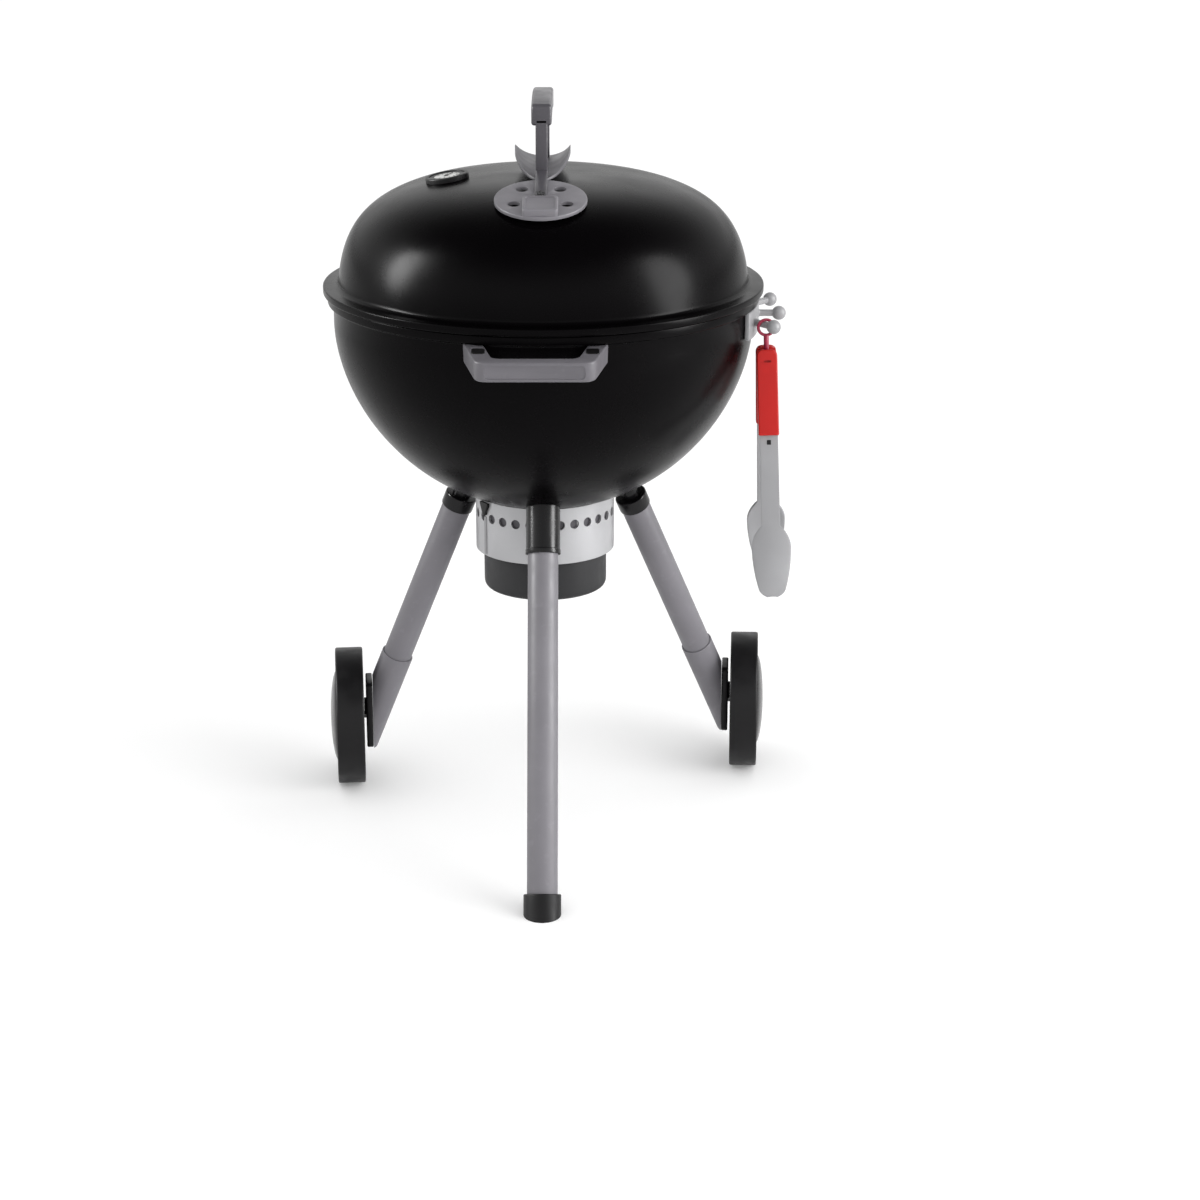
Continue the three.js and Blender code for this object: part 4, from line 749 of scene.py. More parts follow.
@dataclass(frozen=True)
class KettleForm:
    """The two curved walls that everything else sits on."""

    bowl_radius: float = 169.9
    bowl_depth: float = 155.4
    bowl_level: float = 435.2
    bowl_wall: float = 2.4
    bowl_powers: Flat = (2.041, 1.805)
    handle_top: float = 450.5
    rim_underside: float = 452.0
    rim_top: float = 458.5
    rim_reach: float = 4.6
    dome_radius: float = 167.7
    dome_height: float = 219.2
    dome_centre: float = 334.9
    dome_foot: float = 470.0
    dome_powers: Flat = (2.627, 6.92)
    lid_wall: float = 2.2

    @property
    def bowl_bottom(self) -> float:
        """Return the height of the bowl's lowest point."""
        return self.bowl_level - self.bowl_depth

    @property
    def bowl_inside(self) -> float:
        """Return the radius of the bowl's inside."""
        return self.bowl_radius - self.bowl_wall

    @property
    def lip(self) -> float:
        """Return the radius of the bowl's rim."""
        return self.bowl_radius + self.rim_reach

    def bowl_curve(self, inset: float, steps: int = 56) -> list[Flat]:
        """Follow the bowl's wall.

        Args:
            inset: how far the line lies inside the outer face.
            steps: how many edges it has.

        Returns:
            Points from the lowest one out to the widest level.
        """
        radius, depth = self.bowl_radius - inset, self.bowl_depth - inset
        turns = [math.pi / 2 * (1 - step / steps) for step in range(steps + 1)]
        points = [
            (
                radius * math.cos(turn) ** (2 / self.bowl_powers[0]),
                self.bowl_level - depth * math.sin(turn) ** (2 / self.bowl_powers[1]),
            )
            for turn in turns
        ]
        return [(0.0, points[0][1]), *points[1:]]

    def dome_curve(self, inset: float, steps: int = 64) -> list[Flat]:
        """Follow the lid's wall.

        Args:
            inset: how far the line lies inside the outer face.
            steps: how many edges it has.

        Returns:
            Points from the foot up to the crown.
        """
        radius, height = self.dome_radius - inset, self.dome_height - inset
        drop = self.dome_foot - self.dome_centre
        start = math.asin((drop / height) ** (self.dome_powers[1] / 2))
        turns = [start + (math.pi / 2 - start) * step / steps for step in range(steps + 1)]
        points = [
            (
                radius * math.cos(turn) ** (2 / self.dome_powers[0]),
                self.dome_centre + height * math.sin(turn) ** (2 / self.dome_powers[1]),
            )
            for turn in turns
        ]
        return [*points[:-1], (0.0, points[-1][1])]

    def bowl_height(self, radius: float) -> float:
        """Return the height of the bowl's outer face at a distance from the axis."""
        share = 1 - (radius / self.bowl_radius) ** self.bowl_powers[0]
        return self.bowl_level - self.bowl_depth * share ** (1 / self.bowl_powers[1])

    def dome_level(self, radius: float) -> float:
        """Return the height of the lid's outer face at a distance from the axis."""
        share = 1 - (radius / self.dome_radius) ** self.dome_powers[0]
        return self.dome_centre + self.dome_height * share ** (1 / self.dome_powers[1])

    def dome_slope(self, radius: float, step: float = 1.0) -> float:
        """Return how many degrees the lid slopes down at a distance from the axis."""
        fall = self.dome_level(radius - step) - self.dome_level(radius + step)
        return math.degrees(math.atan2(fall, 2 * step))

    def bowl_solid(self) -> Piece:
        """Return the space that the bowl fills, as a tool to trim with."""
        wide = self.bowl_radius + GAP
        upper = [(wide, self.handle_top - GAP), (self.lip + GAP, self.rim_underside - GAP)]
        profile = [*self.bowl_curve(-GAP), *upper, (self.lip + GAP, self.rim_top), (0, self.rim_top)]
        return placed(turned("bowl_tool", profile, KETTLE_STEPS), KETTLE)

    def lid_solid(self) -> Piece:
        """Return the space under the lid's outer face, as a tool to trim with."""
        profile = [(0, self.dome_foot), *self.dome_curve(-GAP)]
        return placed(turned("lid_tool", profile, KETTLE_STEPS), KETTLE)

    def on_lid(self, azimuth: float, distance: float) -> Matrix:
        """Return a frame that lies on the lid's outer face.

        Args:
            azimuth: degrees round from the front.
            distance: millimetres from the axis.

        Returns:
            The frame, its Z square to the face.
        """
        turn = math.radians(azimuth)
        origin = (distance * math.sin(turn), -distance * math.cos(turn), self.dome_level(distance))
        return standing(origin, azimuth, self.dome_slope(distance))


FORM = KettleForm()


# The bowl and what is fixed to it


@dataclass
class Bowl:
    """Round bowl with a rolled rim and the ledge that the grate lies on."""

    rim_round: float = 0.8
    ledge_reach: float = 6.0
    ledge_height: float = 2.0
    ledge_brace: float = 5.0

    def profile(self) -> list[Sequence[float]]:
        """Return the wall's profile, outside first."""
        wide, lip, top, inside = FORM.bowl_radius, FORM.lip, FORM.rim_top, FORM.bowl_inside
        low, level, bend = FORM.rim_underside, FORM.bowl_level, self.rim_round
        ledge = inside - self.ledge_reach
        return [
            *FORM.bowl_curve(0),
            *corner((wide, FORM.handle_top - 1), (wide, FORM.handle_top), (lip - 3, low - 1), 4),
            *corner((lip - bend, low - 0.2), (lip, low), (lip, low + bend), 4),
            (lip, top, bend, 4),
            (inside, top, bend, 3),
            (inside, level),
            (ledge, level, 0.5, 3),
            (ledge, level - self.ledge_height),
            (inside, level - self.ledge_height - self.ledge_brace),
            *reversed(FORM.bowl_curve(FORM.bowl_wall, 40)[:-1]),
        ]

    def build(self) -> None:
        """Build and dress the bowl."""
        piece = placed(turned("bowl", self.profile(), KETTLE_STEPS), KETTLE)
        fit(piece, "kettle", Finish.ENAMEL, "bowl_shell")


@dataclass
class Grate:
    """Round cooking grate of moulded bars on two ties."""

    clearance: float = 1.2
    ring: float = 5.0
    ring_edge: float = 1.5
    height: float = 4.0
    bar: float = 3.0
    tie: float = 2.0
    pitch: float = 25.0
    tie_place: float = 78.0
    bars_each_side: int = 6

    def bar_at(self, name: str, place: float, width: float, level: float) -> Piece:
        """Return a round-ended bar that runs along Y at a distance from the middle."""
        middle = FORM.bowl_inside - self.clearance - self.ring / 2
        reach = math.sqrt(middle**2 - place**2)
        piece = rod(name, width / 2, -reach, reach, 16, 0.5)
        return placed(piece, shift(place, 0, level) @ TO_FRONT)

    def build(self) -> None:
        """Build and dress the grate."""
        bottom = FORM.bowl_level + GAP
        top = bottom + self.height
        outside = FORM.bowl_inside - self.clearance
        inside = outside - self.ring
        corners = ((outside, bottom), (outside, top), (inside, top), (inside, bottom))
        ring = eased([(*point, self.ring_edge, 4) for point in corners])
        parts = [turned("grate_ring", [*ring, ring[0]], KETTLE_STEPS)]
        level = bottom + self.height / 2
        for index in range(-self.bars_each_side, self.bars_each_side + 1):
            parts.append(self.bar_at("grate_bar", index * self.pitch, self.bar, level))
        for place in (-self.tie_place, self.tie_place):
            tie = self.bar_at("grate_tie", place, self.tie, level)
            parts.append(placed(tie, spin(90)))
        fit(placed(together("grate", *parts), KETTLE), "kettle", Finish.DARK, "cooking_grate")


@dataclass
class BowlHandle:
    """Bar on two arms at the bowl's front, with a sunk panel and a black pad on each arm whose black is
    painted shade.
    """

    half_width: float = 44.4
    reach: float = 35.2
    depth: float = 10.5
    height: float = 15.8
    edge: float = 1.6
    bar_round: float = 8.0
    side_shift: float = -3.0
    arm_half_spread: float = 53.0
    arm_width: float = 14.8
    arm_round: float = 6.0
    droop: float = 6.5
    pad_width: float = 9.6
    pad_length: float = 11.4
    pad_depth: float = 2.4
    pad_edge: float = 0.6
    pad_proud: float = 0.5
    pad_place: float = 9.8
    pad_spread: float = 43.2
    panel_rim: float = 2.6
    panel_depth: float = 0.7
    panel_edge: float = 0.5

    def spread(self, distance: float) -> float:
        """Return half the arms' outer spread at a distance out from the bowl."""
        return self.arm_half_spread + (self.half_width - self.arm_half_spread) * distance / self.reach

    def outline(self) -> list[Flat]:
        """Return the handle's outline seen from above."""
        root = -2 * OVERRUN
        inner = self.reach - self.depth
        bend, hollow = self.reach - self.bar_round, inner - self.arm_round
        inside = self.spread(inner) - self.arm_width
        start = (self.spread(hollow) - self.arm_width, -hollow)
        half = [
            *reversed(corner(start, (inside, -inner), (inside - self.arm_round, -inner))),
            (self.spread(root) - self.arm_width, -root),
            (self.spread(root), -root),
            *corner(
                (self.spread(bend), -bend),
                (self.half_width, -self.reach),
                (self.half_width - self.bar_round, -self.reach),
            ),
        ]
        return [*half, *((-x, y) for x, y in reversed(half))]

    def build(self) -> None:
        """Build and dress the handle and its two pads."""
        place = standing((self.side_shift, -FORM.bowl_radius, FORM.handle_top), 0, self.droop)
        piece = slab("bowl_handle_bar", self.outline(), -self.height, 0)
        softened(piece, self.edge, 4)
        half = self.height / 2
        across = self.half_width - self.bar_round + 1.5
        panel = rounded_box(across, half - self.panel_rim, 3.0, (0, -half))
        tool = slab("panel_tool", panel, self.reach - self.panel_depth, self.reach + OVERRUN)
        trimmed(piece, placed(softened(tool, self.panel_edge, 2), TO_FRONT))
        for side in (-1, 1):
            trimmed(piece, self.pad(side, GAP))
        placed(piece, place)
        trimmed(piece, FORM.bowl_solid())
        fit(piece, "kettle", Finish.STONE, "bowl_handle")
        # The pads' black stands in for the shade of recesses in the arms: painted shade.
        for name, side in (("left", -1), ("right", 1)):
            pad = placed(softened(self.pad(side, 0.0), self.pad_edge, 3), place)
            fit(pad, "kettle", Finish.BLACK, f"handle_pad_{name}", name=f"arm_shade_pad_{name}")

    def pad(self, side: int, gap: float) -> Piece:
        """Return one arm's pad, or with a gap the pocket that it sits in."""
        half = self.pad_width / 2 + gap
        reach = self.pad_length / 2 + gap
        outline = rounded_box(half, reach, 1.5, (side * self.pad_spread, -self.pad_place))
        return slab("pad", outline, -self.pad_depth - gap, self.pad_proud + (OVERRUN if gap else 0.0))


@dataclass
class ToolHolder:
    """Curved plate on the bowl's side with three knobbed hooks fanned out from it."""

    azimuth: float = 88.5
    half_angle: float = 18.0
    thickness: float = 4.4
    height: float = 22.6
    edge: float = 1.0
    level: float = 440.0
    spread: float = 11.5
    fan: float = 50.0
    side_reach: float = 22.0
    middle_reach: float = 16.4
    hook_radius: float = 2.7
    knob_radius: float = 5.7
    steps: int = 24

    @property
    def place(self) -> Matrix:
        """Return the holder's frame."""
        return standing((0, 0, self.level), self.azimuth)

    def hook_place(self, place: int) -> Matrix:
        """Return a hook's frame, its Z along the hook: -1 is the front one."""
        root = spin(place * self.spread)
        out = shift(0, -FORM.bowl_radius - self.thickness, 0)
        turn = spin(place * (self.fan - self.spread))
        return self.place @ root @ out @ turn @ TO_FRONT

    def hook(self, reach: float) -> Piece:
        """Return a hook with a round knob at its end."""
        start = math.asin(self.hook_radius / self.knob_radius)
        turns = [start + (math.pi - start) * step / 14 for step in range(15)]
        ball = self.knob_radius
        knob = [(ball * math.sin(turn), reach - ball * math.cos(turn)) for turn in turns]
        root = -self.thickness / 2
        thin, wide = self.hook_radius, self.hook_radius + 1.6
        flare = corner((wide, 0.0), (thin, 0.0), (thin, 1.8), 4)
        profile = [(0, root), (wide, root), *flare, *knob[:-1], (0, knob[-1][1])]
        return turned("hook", profile, SMALL_STEPS)

    def build(self) -> None:
        """Build and dress the holder."""
        inner, outer = FORM.bowl_radius + GAP, FORM.bowl_radius + self.thickness
        shares = [2 * step / self.steps - 1 for step in range(self.steps + 1)]
        turns = [math.radians(self.half_angle) * share for share in shares]
        outline = [
            *((outer * math.sin(turn), -outer * math.cos(turn)) for turn in turns),
            *((inner * math.sin(turn), -inner * math.cos(turn)) for turn in reversed(turns)),
        ]
        plate = slab("holder_plate", outline, -self.height / 2, self.height / 2)
        parts = [placed(softened(plate, self.edge, 3), self.place)]
        for place, reach in ((-1, self.side_reach), (0, self.middle_reach), (1, self.side_reach)):
            parts.append(placed(self.hook(reach), self.hook_place(place)))
        fit(together("holder", *parts), "kettle", Finish.LIGHT, "tool_holder")


# The lid


@dataclass
class Lid:
    """Flat-topped dome with a flange over the bowl's rim and a locating skirt."""

    overhang: float = 3.5
    flange_bottom: float = 459.5
    flange_top: float = 465.5
    groove_depth: float = 6.5
    flange_round: float = 1.2
    fillet: float = 4.5
    skirt_depth: float = 6.0
    skirt_wall: float = 2.2
    skirt_clearance: float = 0.8

    def profile(self) -> list[Sequence[float]]:
        """Return the wall's profile, inside first."""
        outside = FORM.dome_curve(0)
        foot = outside[0][0]
        lip = FORM.lip + self.overhang
        skirt = FORM.bowl_inside - self.skirt_clearance
        seat = FORM.rim_top + GAP
        groove = lip - self.groove_depth
        low, high, bend = self.flange_bottom, self.flange_top, self.flange_round
        return [
            *reversed(FORM.dome_curve(FORM.lid_wall, 48)),
            (skirt - self.skirt_wall, seat),
            (skirt - self.skirt_wall, FORM.rim_top - self.skirt_depth),
            (skirt, FORM.rim_top - self.skirt_depth),
            (skirt, seat),
            (groove, seat),
            (groove, low),
            (lip, low, bend, 4),
            *corner((lip, high - bend), (lip, high), (lip - bend, high), 4),
            *corner((foot + self.fillet, high + 0.3), (foot, high + 0.8), outside[0], 6)[:-1],
            *outside,
        ]

    def build(self) -> None:
        """Build and dress the lid."""
        piece = placed(turned("lid", self.profile(), KETTLE_STEPS), KETTLE)
        fit(piece, "lid", Finish.ENAMEL, "lid_shell")


@dataclass
class LidHandle:
    """Arched grip on two legs, a flat tongue over the damper and a trough-shaped heat shield."""

    half_length: float = 48.0
    width: float = 16.0
    height: float = 17.0
    crown: float = 3.6
    grip_round: float = 5.0
    edge: float = 2.4
    bottom: float = 598.0
    leg_width: float = 9.4
    leg_depth: float = 7.4
    leg_spread: float = 6.0
    leg_edge: float = 1.0
    tongue_width: float = 9.6
    tongue_bottom: float = 3.6
    tongue_top: float = 6.0
    tongue_edge: float = 0.7
    shield_half_width: float = 22.2
    shield_half_length: float = 55.0
    shield_bend: float = 22.8
    shield_thickness: float = 2.0
    shield_edge: float = 0.5
    shield_bottom: float = 555.8
    post_radius: float = 4.0

    @property
    def leg_place(self) -> float:
        """Return how far the legs stand from the middle."""
        return self.half_length - self.leg_depth / 2

    def grip(self) -> Piece:
        """Return the grip: an arch seen from the side."""
        top, end, inner = self.bottom + self.height, self.half_length, self.half_length - self.leg_depth
        bend, crown = self.grip_round, self.bottom + self.height + self.crown
        outline = [
            (end, self.bottom),
            *corner((end, top - bend), (end, top), (end - bend, top)),
            *corner((end - bend, top), (end / 2, crown), (0, crown), 10)[1:],
            *corner((0, crown), (-end / 2, crown), (-end + bend, top), 10)[1:],
            *corner((-end + bend, top), (-end, top), (-end, top - bend))[1:],
            (-end, self.bottom),
            *corner((-inner, self.bottom), (0, self.bottom + 2 * self.crown), (inner, self.bottom), 16),
        ]
        piece = slab("grip", outline, -self.width / 2, self.width / 2)
        return placed(softened(piece, self.edge, 5), UPRIGHT)

    def leg(self, side: int) -> Piece:
        """Return one leg: -1 is the front one."""
        half = self.leg_width / 2
        sag = self.shield_bend - math.sqrt(self.shield_bend**2 - half**2)
        foot = self.shield_bottom + self.shield_thickness + sag + GAP
        inner, low = self.half_length - self.leg_depth, self.bottom - self.leg_spread
        top = self.bottom + self.grip_round
        outline = [
            (-inner, foot),
            (-self.half_length, foot),
            (-self.half_length, top),
            (-inner + self.leg_spread, top),
            (-inner + self.leg_spread, self.bottom),
            *corner((-inner + self.leg_spread, self.bottom), (-inner, self.bottom), (-inner, low))[1:],
        ]
        piece = slab("leg", [(-side * x, y) for x, y in outline], -half, half)
        return placed(softened(piece, self.leg_edge, 3), UPRIGHT)

    def tongue(self, damper: Matrix, distance: float) -> Piece:
        """Return the strip that runs from the front leg to the damper's pivot."""
        half = self.tongue_width / 2
        start = (distance - self.leg_place) / math.cos(math.radians(FORM.dome_slope(distance)))
        turns = [math.pi * (1 + step / 16) for step in range(17)]
        outline = [(half, start), (-half, start), *arc(turns, half, half)]
        piece = slab("tongue", outline, self.tongue_bottom, self.tongue_top)
        return placed(softened(piece, self.tongue_edge, 3), damper)

    def shield(self) -> Piece:
        """Return the oval plate bent into a trough, on its two posts."""
        outer = self.shield_bend + self.shield_thickness
        middle = self.shield_bottom + outer
        turns = [math.pi * (1 + step / 48) for step in range(49)]
        bend = [*arc(turns, outer, outer), *arc(turns[::-1], self.shield_bend, self.shield_bend)]
        trough = slab("shield", bend, -self.shield_half_length, self.shield_half_length)
        placed(trough, shift(0, 0, middle) @ TO_FRONT)
        rounds = [math.tau * step / 96 for step in range(96)]
        oval = arc(rounds, self.shield_half_width, self.shield_half_length)
        trimmed(trough, slab("shield_tool", oval, self.shield_bottom - OVERRUN, middle), "INTERSECT")
        softened(trough, self.shield_edge, 2)
        posts = []
        for side in (-1, 1):
            top = self.shield_bottom + self.shield_thickness / 2
            post = rod("post", self.post_radius, FORM.dome_foot, top, SMALL_STEPS)
            posts.append(placed(post, shift(0, side * self.leg_place, 0)))
        posts = together("posts", *posts)
        placed(posts, KETTLE)
        trimmed(posts, FORM.lid_solid())
        return together("shield", placed(trough, KETTLE), posts)

    def build(self, damper: Matrix, distance: float) -> None:
        """Build and dress the handle and its shield.

        Args:
            damper: the damper's frame.
            distance: how far the damper lies from the axis.
        """
        body = placed(together("grip", self.grip(), self.leg(-1), self.leg(1)), KETTLE)
        handle = together("carry_handle", body, self.tongue(damper, distance))
        # The handle's darker grey is painted shade.
        fit(handle, "lid", Finish.SMOKE, "lid_handle")
        fit(self.shield(), "lid", Finish.STONE, "heat_shield")


@dataclass
class Damper:
    """Round vent plate with four holes and a raised finger block, turning on its pivot."""

    distance: float = 93.5
    radius: float = 36.0
    thickness: float = 3.0
    edge: float = 1.0
    hole_radius: float = 5.0
    hole_circle: float = 23.0
    hole_edge: float = 0.35
    hole_angles: tuple[float, ...] = (-118.0, -40.0, 40.0, 118.0)
    tab_width: float = 27.5
    tab_start: float = 6.6
    tab_length: float = 27.4
    tab_height: float = 5.6
    tab_edge: float = 1.4
    tab_round: float = 2.6
    tab_rim: float = 2.2
    tab_sink: float = 1.0
    sink_edge: float = 0.5
    pivot_radius: float = 1.8

    @property
    def place(self) -> Matrix:
        """Return the damper's frame."""
        return FORM.on_lid(0.0, self.distance)

    def build(self) -> None:
        """Build and dress the damper."""
        top = GAP + self.thickness
        profile = [(0, GAP), (self.radius, GAP), (self.radius, top, self.edge, 4), (0, top)]
        piece = turned("damper_plate", profile, DISC_STEPS)
        for angle in self.hole_angles:
            turn = spin(angle)
            out = turn @ shift(0, self.hole_circle, 0)
            hole = rod("hole_tool", self.hole_radius, -OVERRUN, OVERRUN, SMALL_STEPS)
            trimmed(piece, placed(hole, out))
        trimmed(piece, rod("pivot_tool", self.pivot_radius + GAP, -OVERRUN, OVERRUN, SMALL_STEPS))
        softened(piece, self.hole_edge, 2)
        middle = (0.0, -self.tab_start - self.tab_length / 2)
        outline = rounded_box(self.tab_width / 2, self.tab_length / 2, self.tab_round, middle)
        tab = softened(slab("tab", outline, top - 1.5, top + self.tab_height), self.tab_edge, 4)
        across, along = self.tab_width / 2 - self.tab_rim, self.tab_length / 2 - self.tab_rim
        inner = rounded_box(across, along, self.tab_round, middle)
        high = top + self.tab_height
        sink = slab("tab_tool", inner, high - self.tab_sink, high + OVERRUN)
        trimmed(tab, softened(sink, self.sink_edge, 2))
        damper = placed(together("vent_damper", piece, tab), self.place)
        fit(damper, "damper", Finish.GREY, "damper_disc")


@dataclass
class Thermometer:
    """Round dial in a dark bezel on the lid's left shoulder."""

    distance: float = 76.6
    azimuth: float = -82.5
    radius: float = 17.4
    rim: float = 3.2
    height: float = 3.8
    edge: float = 1.2
    dial_thickness: float = 1.4
    recess: float = 0.8
    stem_radius: float = 2.4
    stem_length: float = 6.5
    marks: int = 11
    sweep: float = 270.0
    band: float = 0.74
    band_height: float = 0.12
    groove: float = 0.15
    needle_turn: float = 48.0

    @property
    def place(self) -> Matrix:
        """Return the dial's frame."""
        return FORM.on_lid(self.azimuth, self.distance)

    def bezel(self) -> Piece:
        """Return the bezel with its stem through the lid."""
        rim, top = self.radius - self.rim, self.height
        floor = top - self.recess - self.dial_thickness - GAP
        profile = [
            (0, -OVERRUN),
            (self.radius, -OVERRUN),
            (self.radius, top, self.edge, 6),
            (rim, top, self.edge / 2, 4),
            (rim, floor),
            (0, floor),
        ]
        ring = placed(turned("bezel", profile, DISC_STEPS), self.place)
        trimmed(ring, FORM.lid_solid())
        stem = rod("stem", self.stem_radius, -self.stem_length, floor / 2, SMALL_STEPS)
        return together("dial_bezel", ring, placed(stem, self.place))

    def scale(self) -> Piece:
        """Return the dial's marks, needle and needle cap."""
        face = self.height - self.recess
        outside = self.radius - self.rim - GAP
        inside = outside * self.band
        low, high = face, face + self.band_height
        edge = outside - 0.3
        flat = [(inside, low), (edge, low), (edge, high), (inside, high), (inside, low)]
        shape = [(-0.3, inside - 2.4), (0.3, inside - 2.4), (0.3, inside - 0.6), (-0.3, inside - 0.6)]
        mark = slab("mark", shape, face, face + 0.15)
        steps = [self.sweep / 2 - self.sweep * index / (self.marks - 1) for index in range(self.marks)]
        parts = [turned("band", flat, DISC_STEPS), *repeated(mark, [spin(step) for step in steps])]
        shape = [(-0.55, -3.2), (0.55, -3.2), (0.18, inside - 2.6), (-0.18, inside - 2.6)]
        needle = slab("needle", shape, face + 0.2, face + 0.5)
        parts.append(placed(needle, spin(self.needle_turn)))
        parts.append(rod("needle_cap", 1.5, face, face + 0.7, SMALL_STEPS, 0.3))
        return placed(together("dial_scale", *parts), self.place)

    def build(self) -> None:
        """Build and dress the thermometer."""
        fit(self.bezel(), "lid", Finish.BLACK, "thermometer_bezel")
        top, inside = self.height - self.recess, self.radius - self.rim - GAP
        low = top - self.dial_thickness
        steps = ((0.72, 0), (0.7, self.groove), (0.66, self.groove), (0.64, 0))
        groove = [(inside * share, top - drop) for share, drop in steps]
        profile = [(0, low), (inside, low), (inside, top, 0.2, 3), *groove, (0, top)]
        dial = turned("dial", profile, DISC_STEPS)
        fit(placed(dial, self.place), "lid", Finish.DIAL, "thermometer_dial")
        fit(self.scale(), "lid", Finish.DARK)


# The ash catcher


@dataclass
class AshCatcher:
    """Collar with a row of round vents, a latch and the pot that pulls down out of it."""

    radius: float = 57.3
    wall: float = 2.0
    bottom: float = 242.0
    lip_height: float = 3.0
    sleeve: float = 51.1
    boss_radius: float = 4.0
    boss_drop: float = 12.0
    boss_places: tuple[int, ...] = (2, 12, 21)
    vents: int = 29
    vent_radius: float = 3.9
    vent_height: float = 275.0
    vent_phase: float = 1.1
    vent_edge: float = 0.35
    shade_ring_wall: float = 0.8
    seam_width: float = 3.4
    seam_rise: float = 0.6
    seam_edge: float = 0.25
    latch_azimuth: float = -57.0
    latch_width: float = 12.0
    latch_tip: float = 3.0
    latch_height: float = 11.0
    latch_rise: float = 8.2
    latch_thickness: float = 2.2
    latch_edge: float = 0.6
    pot_radius: float = 50.8
    pot_height: float = 56.0
    pot_bottom: float = 208.3
    pot_wall: float = 1.8
    pot_round: float = 6.0

    def collar(self) -> Piece:
        """Return the collar with its vents and bosses."""
        inside, low, lip = self.radius - self.wall, self.bottom, self.bottom + self.lip_height
        wall = [
            (self.sleeve, low),
            (self.radius, low, 0.8, 4),
            (self.radius, FORM.bowl_level),
            (inside, FORM.bowl_level),
            (inside, lip),
            (self.sleeve, lip),
            (self.sleeve, low),
        ]
        piece = placed(turned("collar", wall, COLLAR_STEPS), KETTLE)
        hole = rod("vent_tool", self.vent_radius, inside - 1, self.radius + 2, 24)
        turns = [self.vent_phase + 360 / self.vents * index for index in range(self.vents)]
        tools = repeated(hole, [outward(turn, self.vent_height) for turn in turns])
        trimmed(piece, together("vent_tools", *tools))
        softened(piece, self.vent_edge, 2)
        trimmed(piece, FORM.bowl_solid())
        bosses = []
        for place in self.boss_places:
            low = FORM.bowl_bottom - self.boss_drop
            boss = rod("boss", self.boss_radius, low, FORM.bowl_level, SMALL_STEPS)
            turn = standing((0, 0, 0), self.vent_phase + 360 / self.vents * (place + 0.5))
            out = shift(0, -(self.radius - self.wall / 2 - self.boss_radius), 0)
            bosses.append(placed(boss, turn @ out))
        bosses = trimmed(together("bosses", *bosses), FORM.bowl_solid())
        return together("ash_collar_ring", piece, bosses)

    def shade_ring(self) -> Piece:
        """Return the thin ring that turns behind the vents, standing for the inner wall seen through them;
        its darker grey is painted shade.
        """
        outside, low = self.radius - self.wall - GAP, self.vent_height - 2.2 * self.vent_radius
        inside, high = outside - self.shade_ring_wall, self.vent_height + 2.2 * self.vent_radius
        profile = [(inside, low), (outside, low), (outside, high), (inside, high), (inside, low)]
        return placed(turned("vent_shade_ring", profile, COLLAR_STEPS), KETTLE)

    def seam(self) -> Piece:
        """Return the low upright rib under the latch."""
        high = FORM.bowl_bottom + self.latch_rise - self.latch_height
        span, middle = (high - self.bottom) / 2 - 1.5, (high + self.bottom) / 2
        outline = rounded_box(self.seam_width / 2, span, 0.6, (0, middle))
        outside = math.sqrt(self.radius**2 - self.seam_width**2 / 4)
        piece = slab("collar_seam", outline, outside - 0.6, self.radius + self.seam_rise)
        return placed(softened(piece, self.seam_edge, 2), outward(self.latch_azimuth, 0))

    def latch(self) -> Piece:
        """Return the small wedge on the collar."""
        high = FORM.bowl_bottom + self.latch_rise
        low, top, tip = high - self.latch_height, self.latch_width / 2, self.latch_tip / 2
        half = [(tip, low), (top, high - 2), (top, high)]
        outline = [(-tip, low), *half, (-top, high), (-top, high - 2)]
        piece = slab("latch", outline, self.radius - self.wall, self.radius + self.latch_thickness)
        placed(softened(piece, self.latch_edge, 3), outward(self.latch_azimuth, 0))
        hollow = rod("latch_tool", self.radius + GAP, self.bottom, FORM.bowl_level, COLLAR_STEPS)
        return trimmed(trimmed(piece, placed(hollow, KETTLE)), FORM.bowl_solid())

    def pot(self) -> Piece:
        """Return the pot."""
        radius, inside, low = self.pot_radius, self.pot_radius - self.pot_wall, self.pot_bottom
        bend, top = self.pot_round, self.pot_bottom + self.pot_height
        floor = low + self.pot_wall
        profile = [
            (0, low + 0.6),
            (radius - 14, low + 0.6),
            (radius - 14.8, low),
            (radius, low, bend, 8),
            (radius, top, 0.6, 3),
            (inside, top),
            *corner((inside, low + bend), (inside, floor), (inside - bend + 1, floor), 6),
            (0, floor),
        ]
        return placed(turned("pot", profile, COLLAR_STEPS), KETTLE)

    def build(self) -> None:
        """Build and dress the ash catcher."""
        evened(fit(self.collar(), "kettle", Finish.PALE, "ash_collar"))
        # The ring behind the vents is painted shade for their insides.
        fit(self.shade_ring(), "kettle", Finish.SMOKE)
        fit(self.seam(), "kettle", Finish.LIGHT)
        fit(self.latch(), "kettle", Finish.BLACK, "ash_latch")
        fit(self.pot(), "ash_pot", Finish.DARK, "ash_pot")


# Legs and wheels


@dataclass(frozen=True)
class Line:
    """A leg's line down from the middle of its socket."""

    origin: tuple[float, float, float]
    turn: float
    tilt: float

    @property
    def place(self) -> Matrix:
        """Return the leg's frame, its Z up along the leg."""
        return standing(self.origin, self.turn, self.tilt)

    def down(self, height: float) -> float:
        """Return the distance down the line to a height above the floor."""
        return (self.origin[2] - height) / math.cos(math.radians(self.tilt))


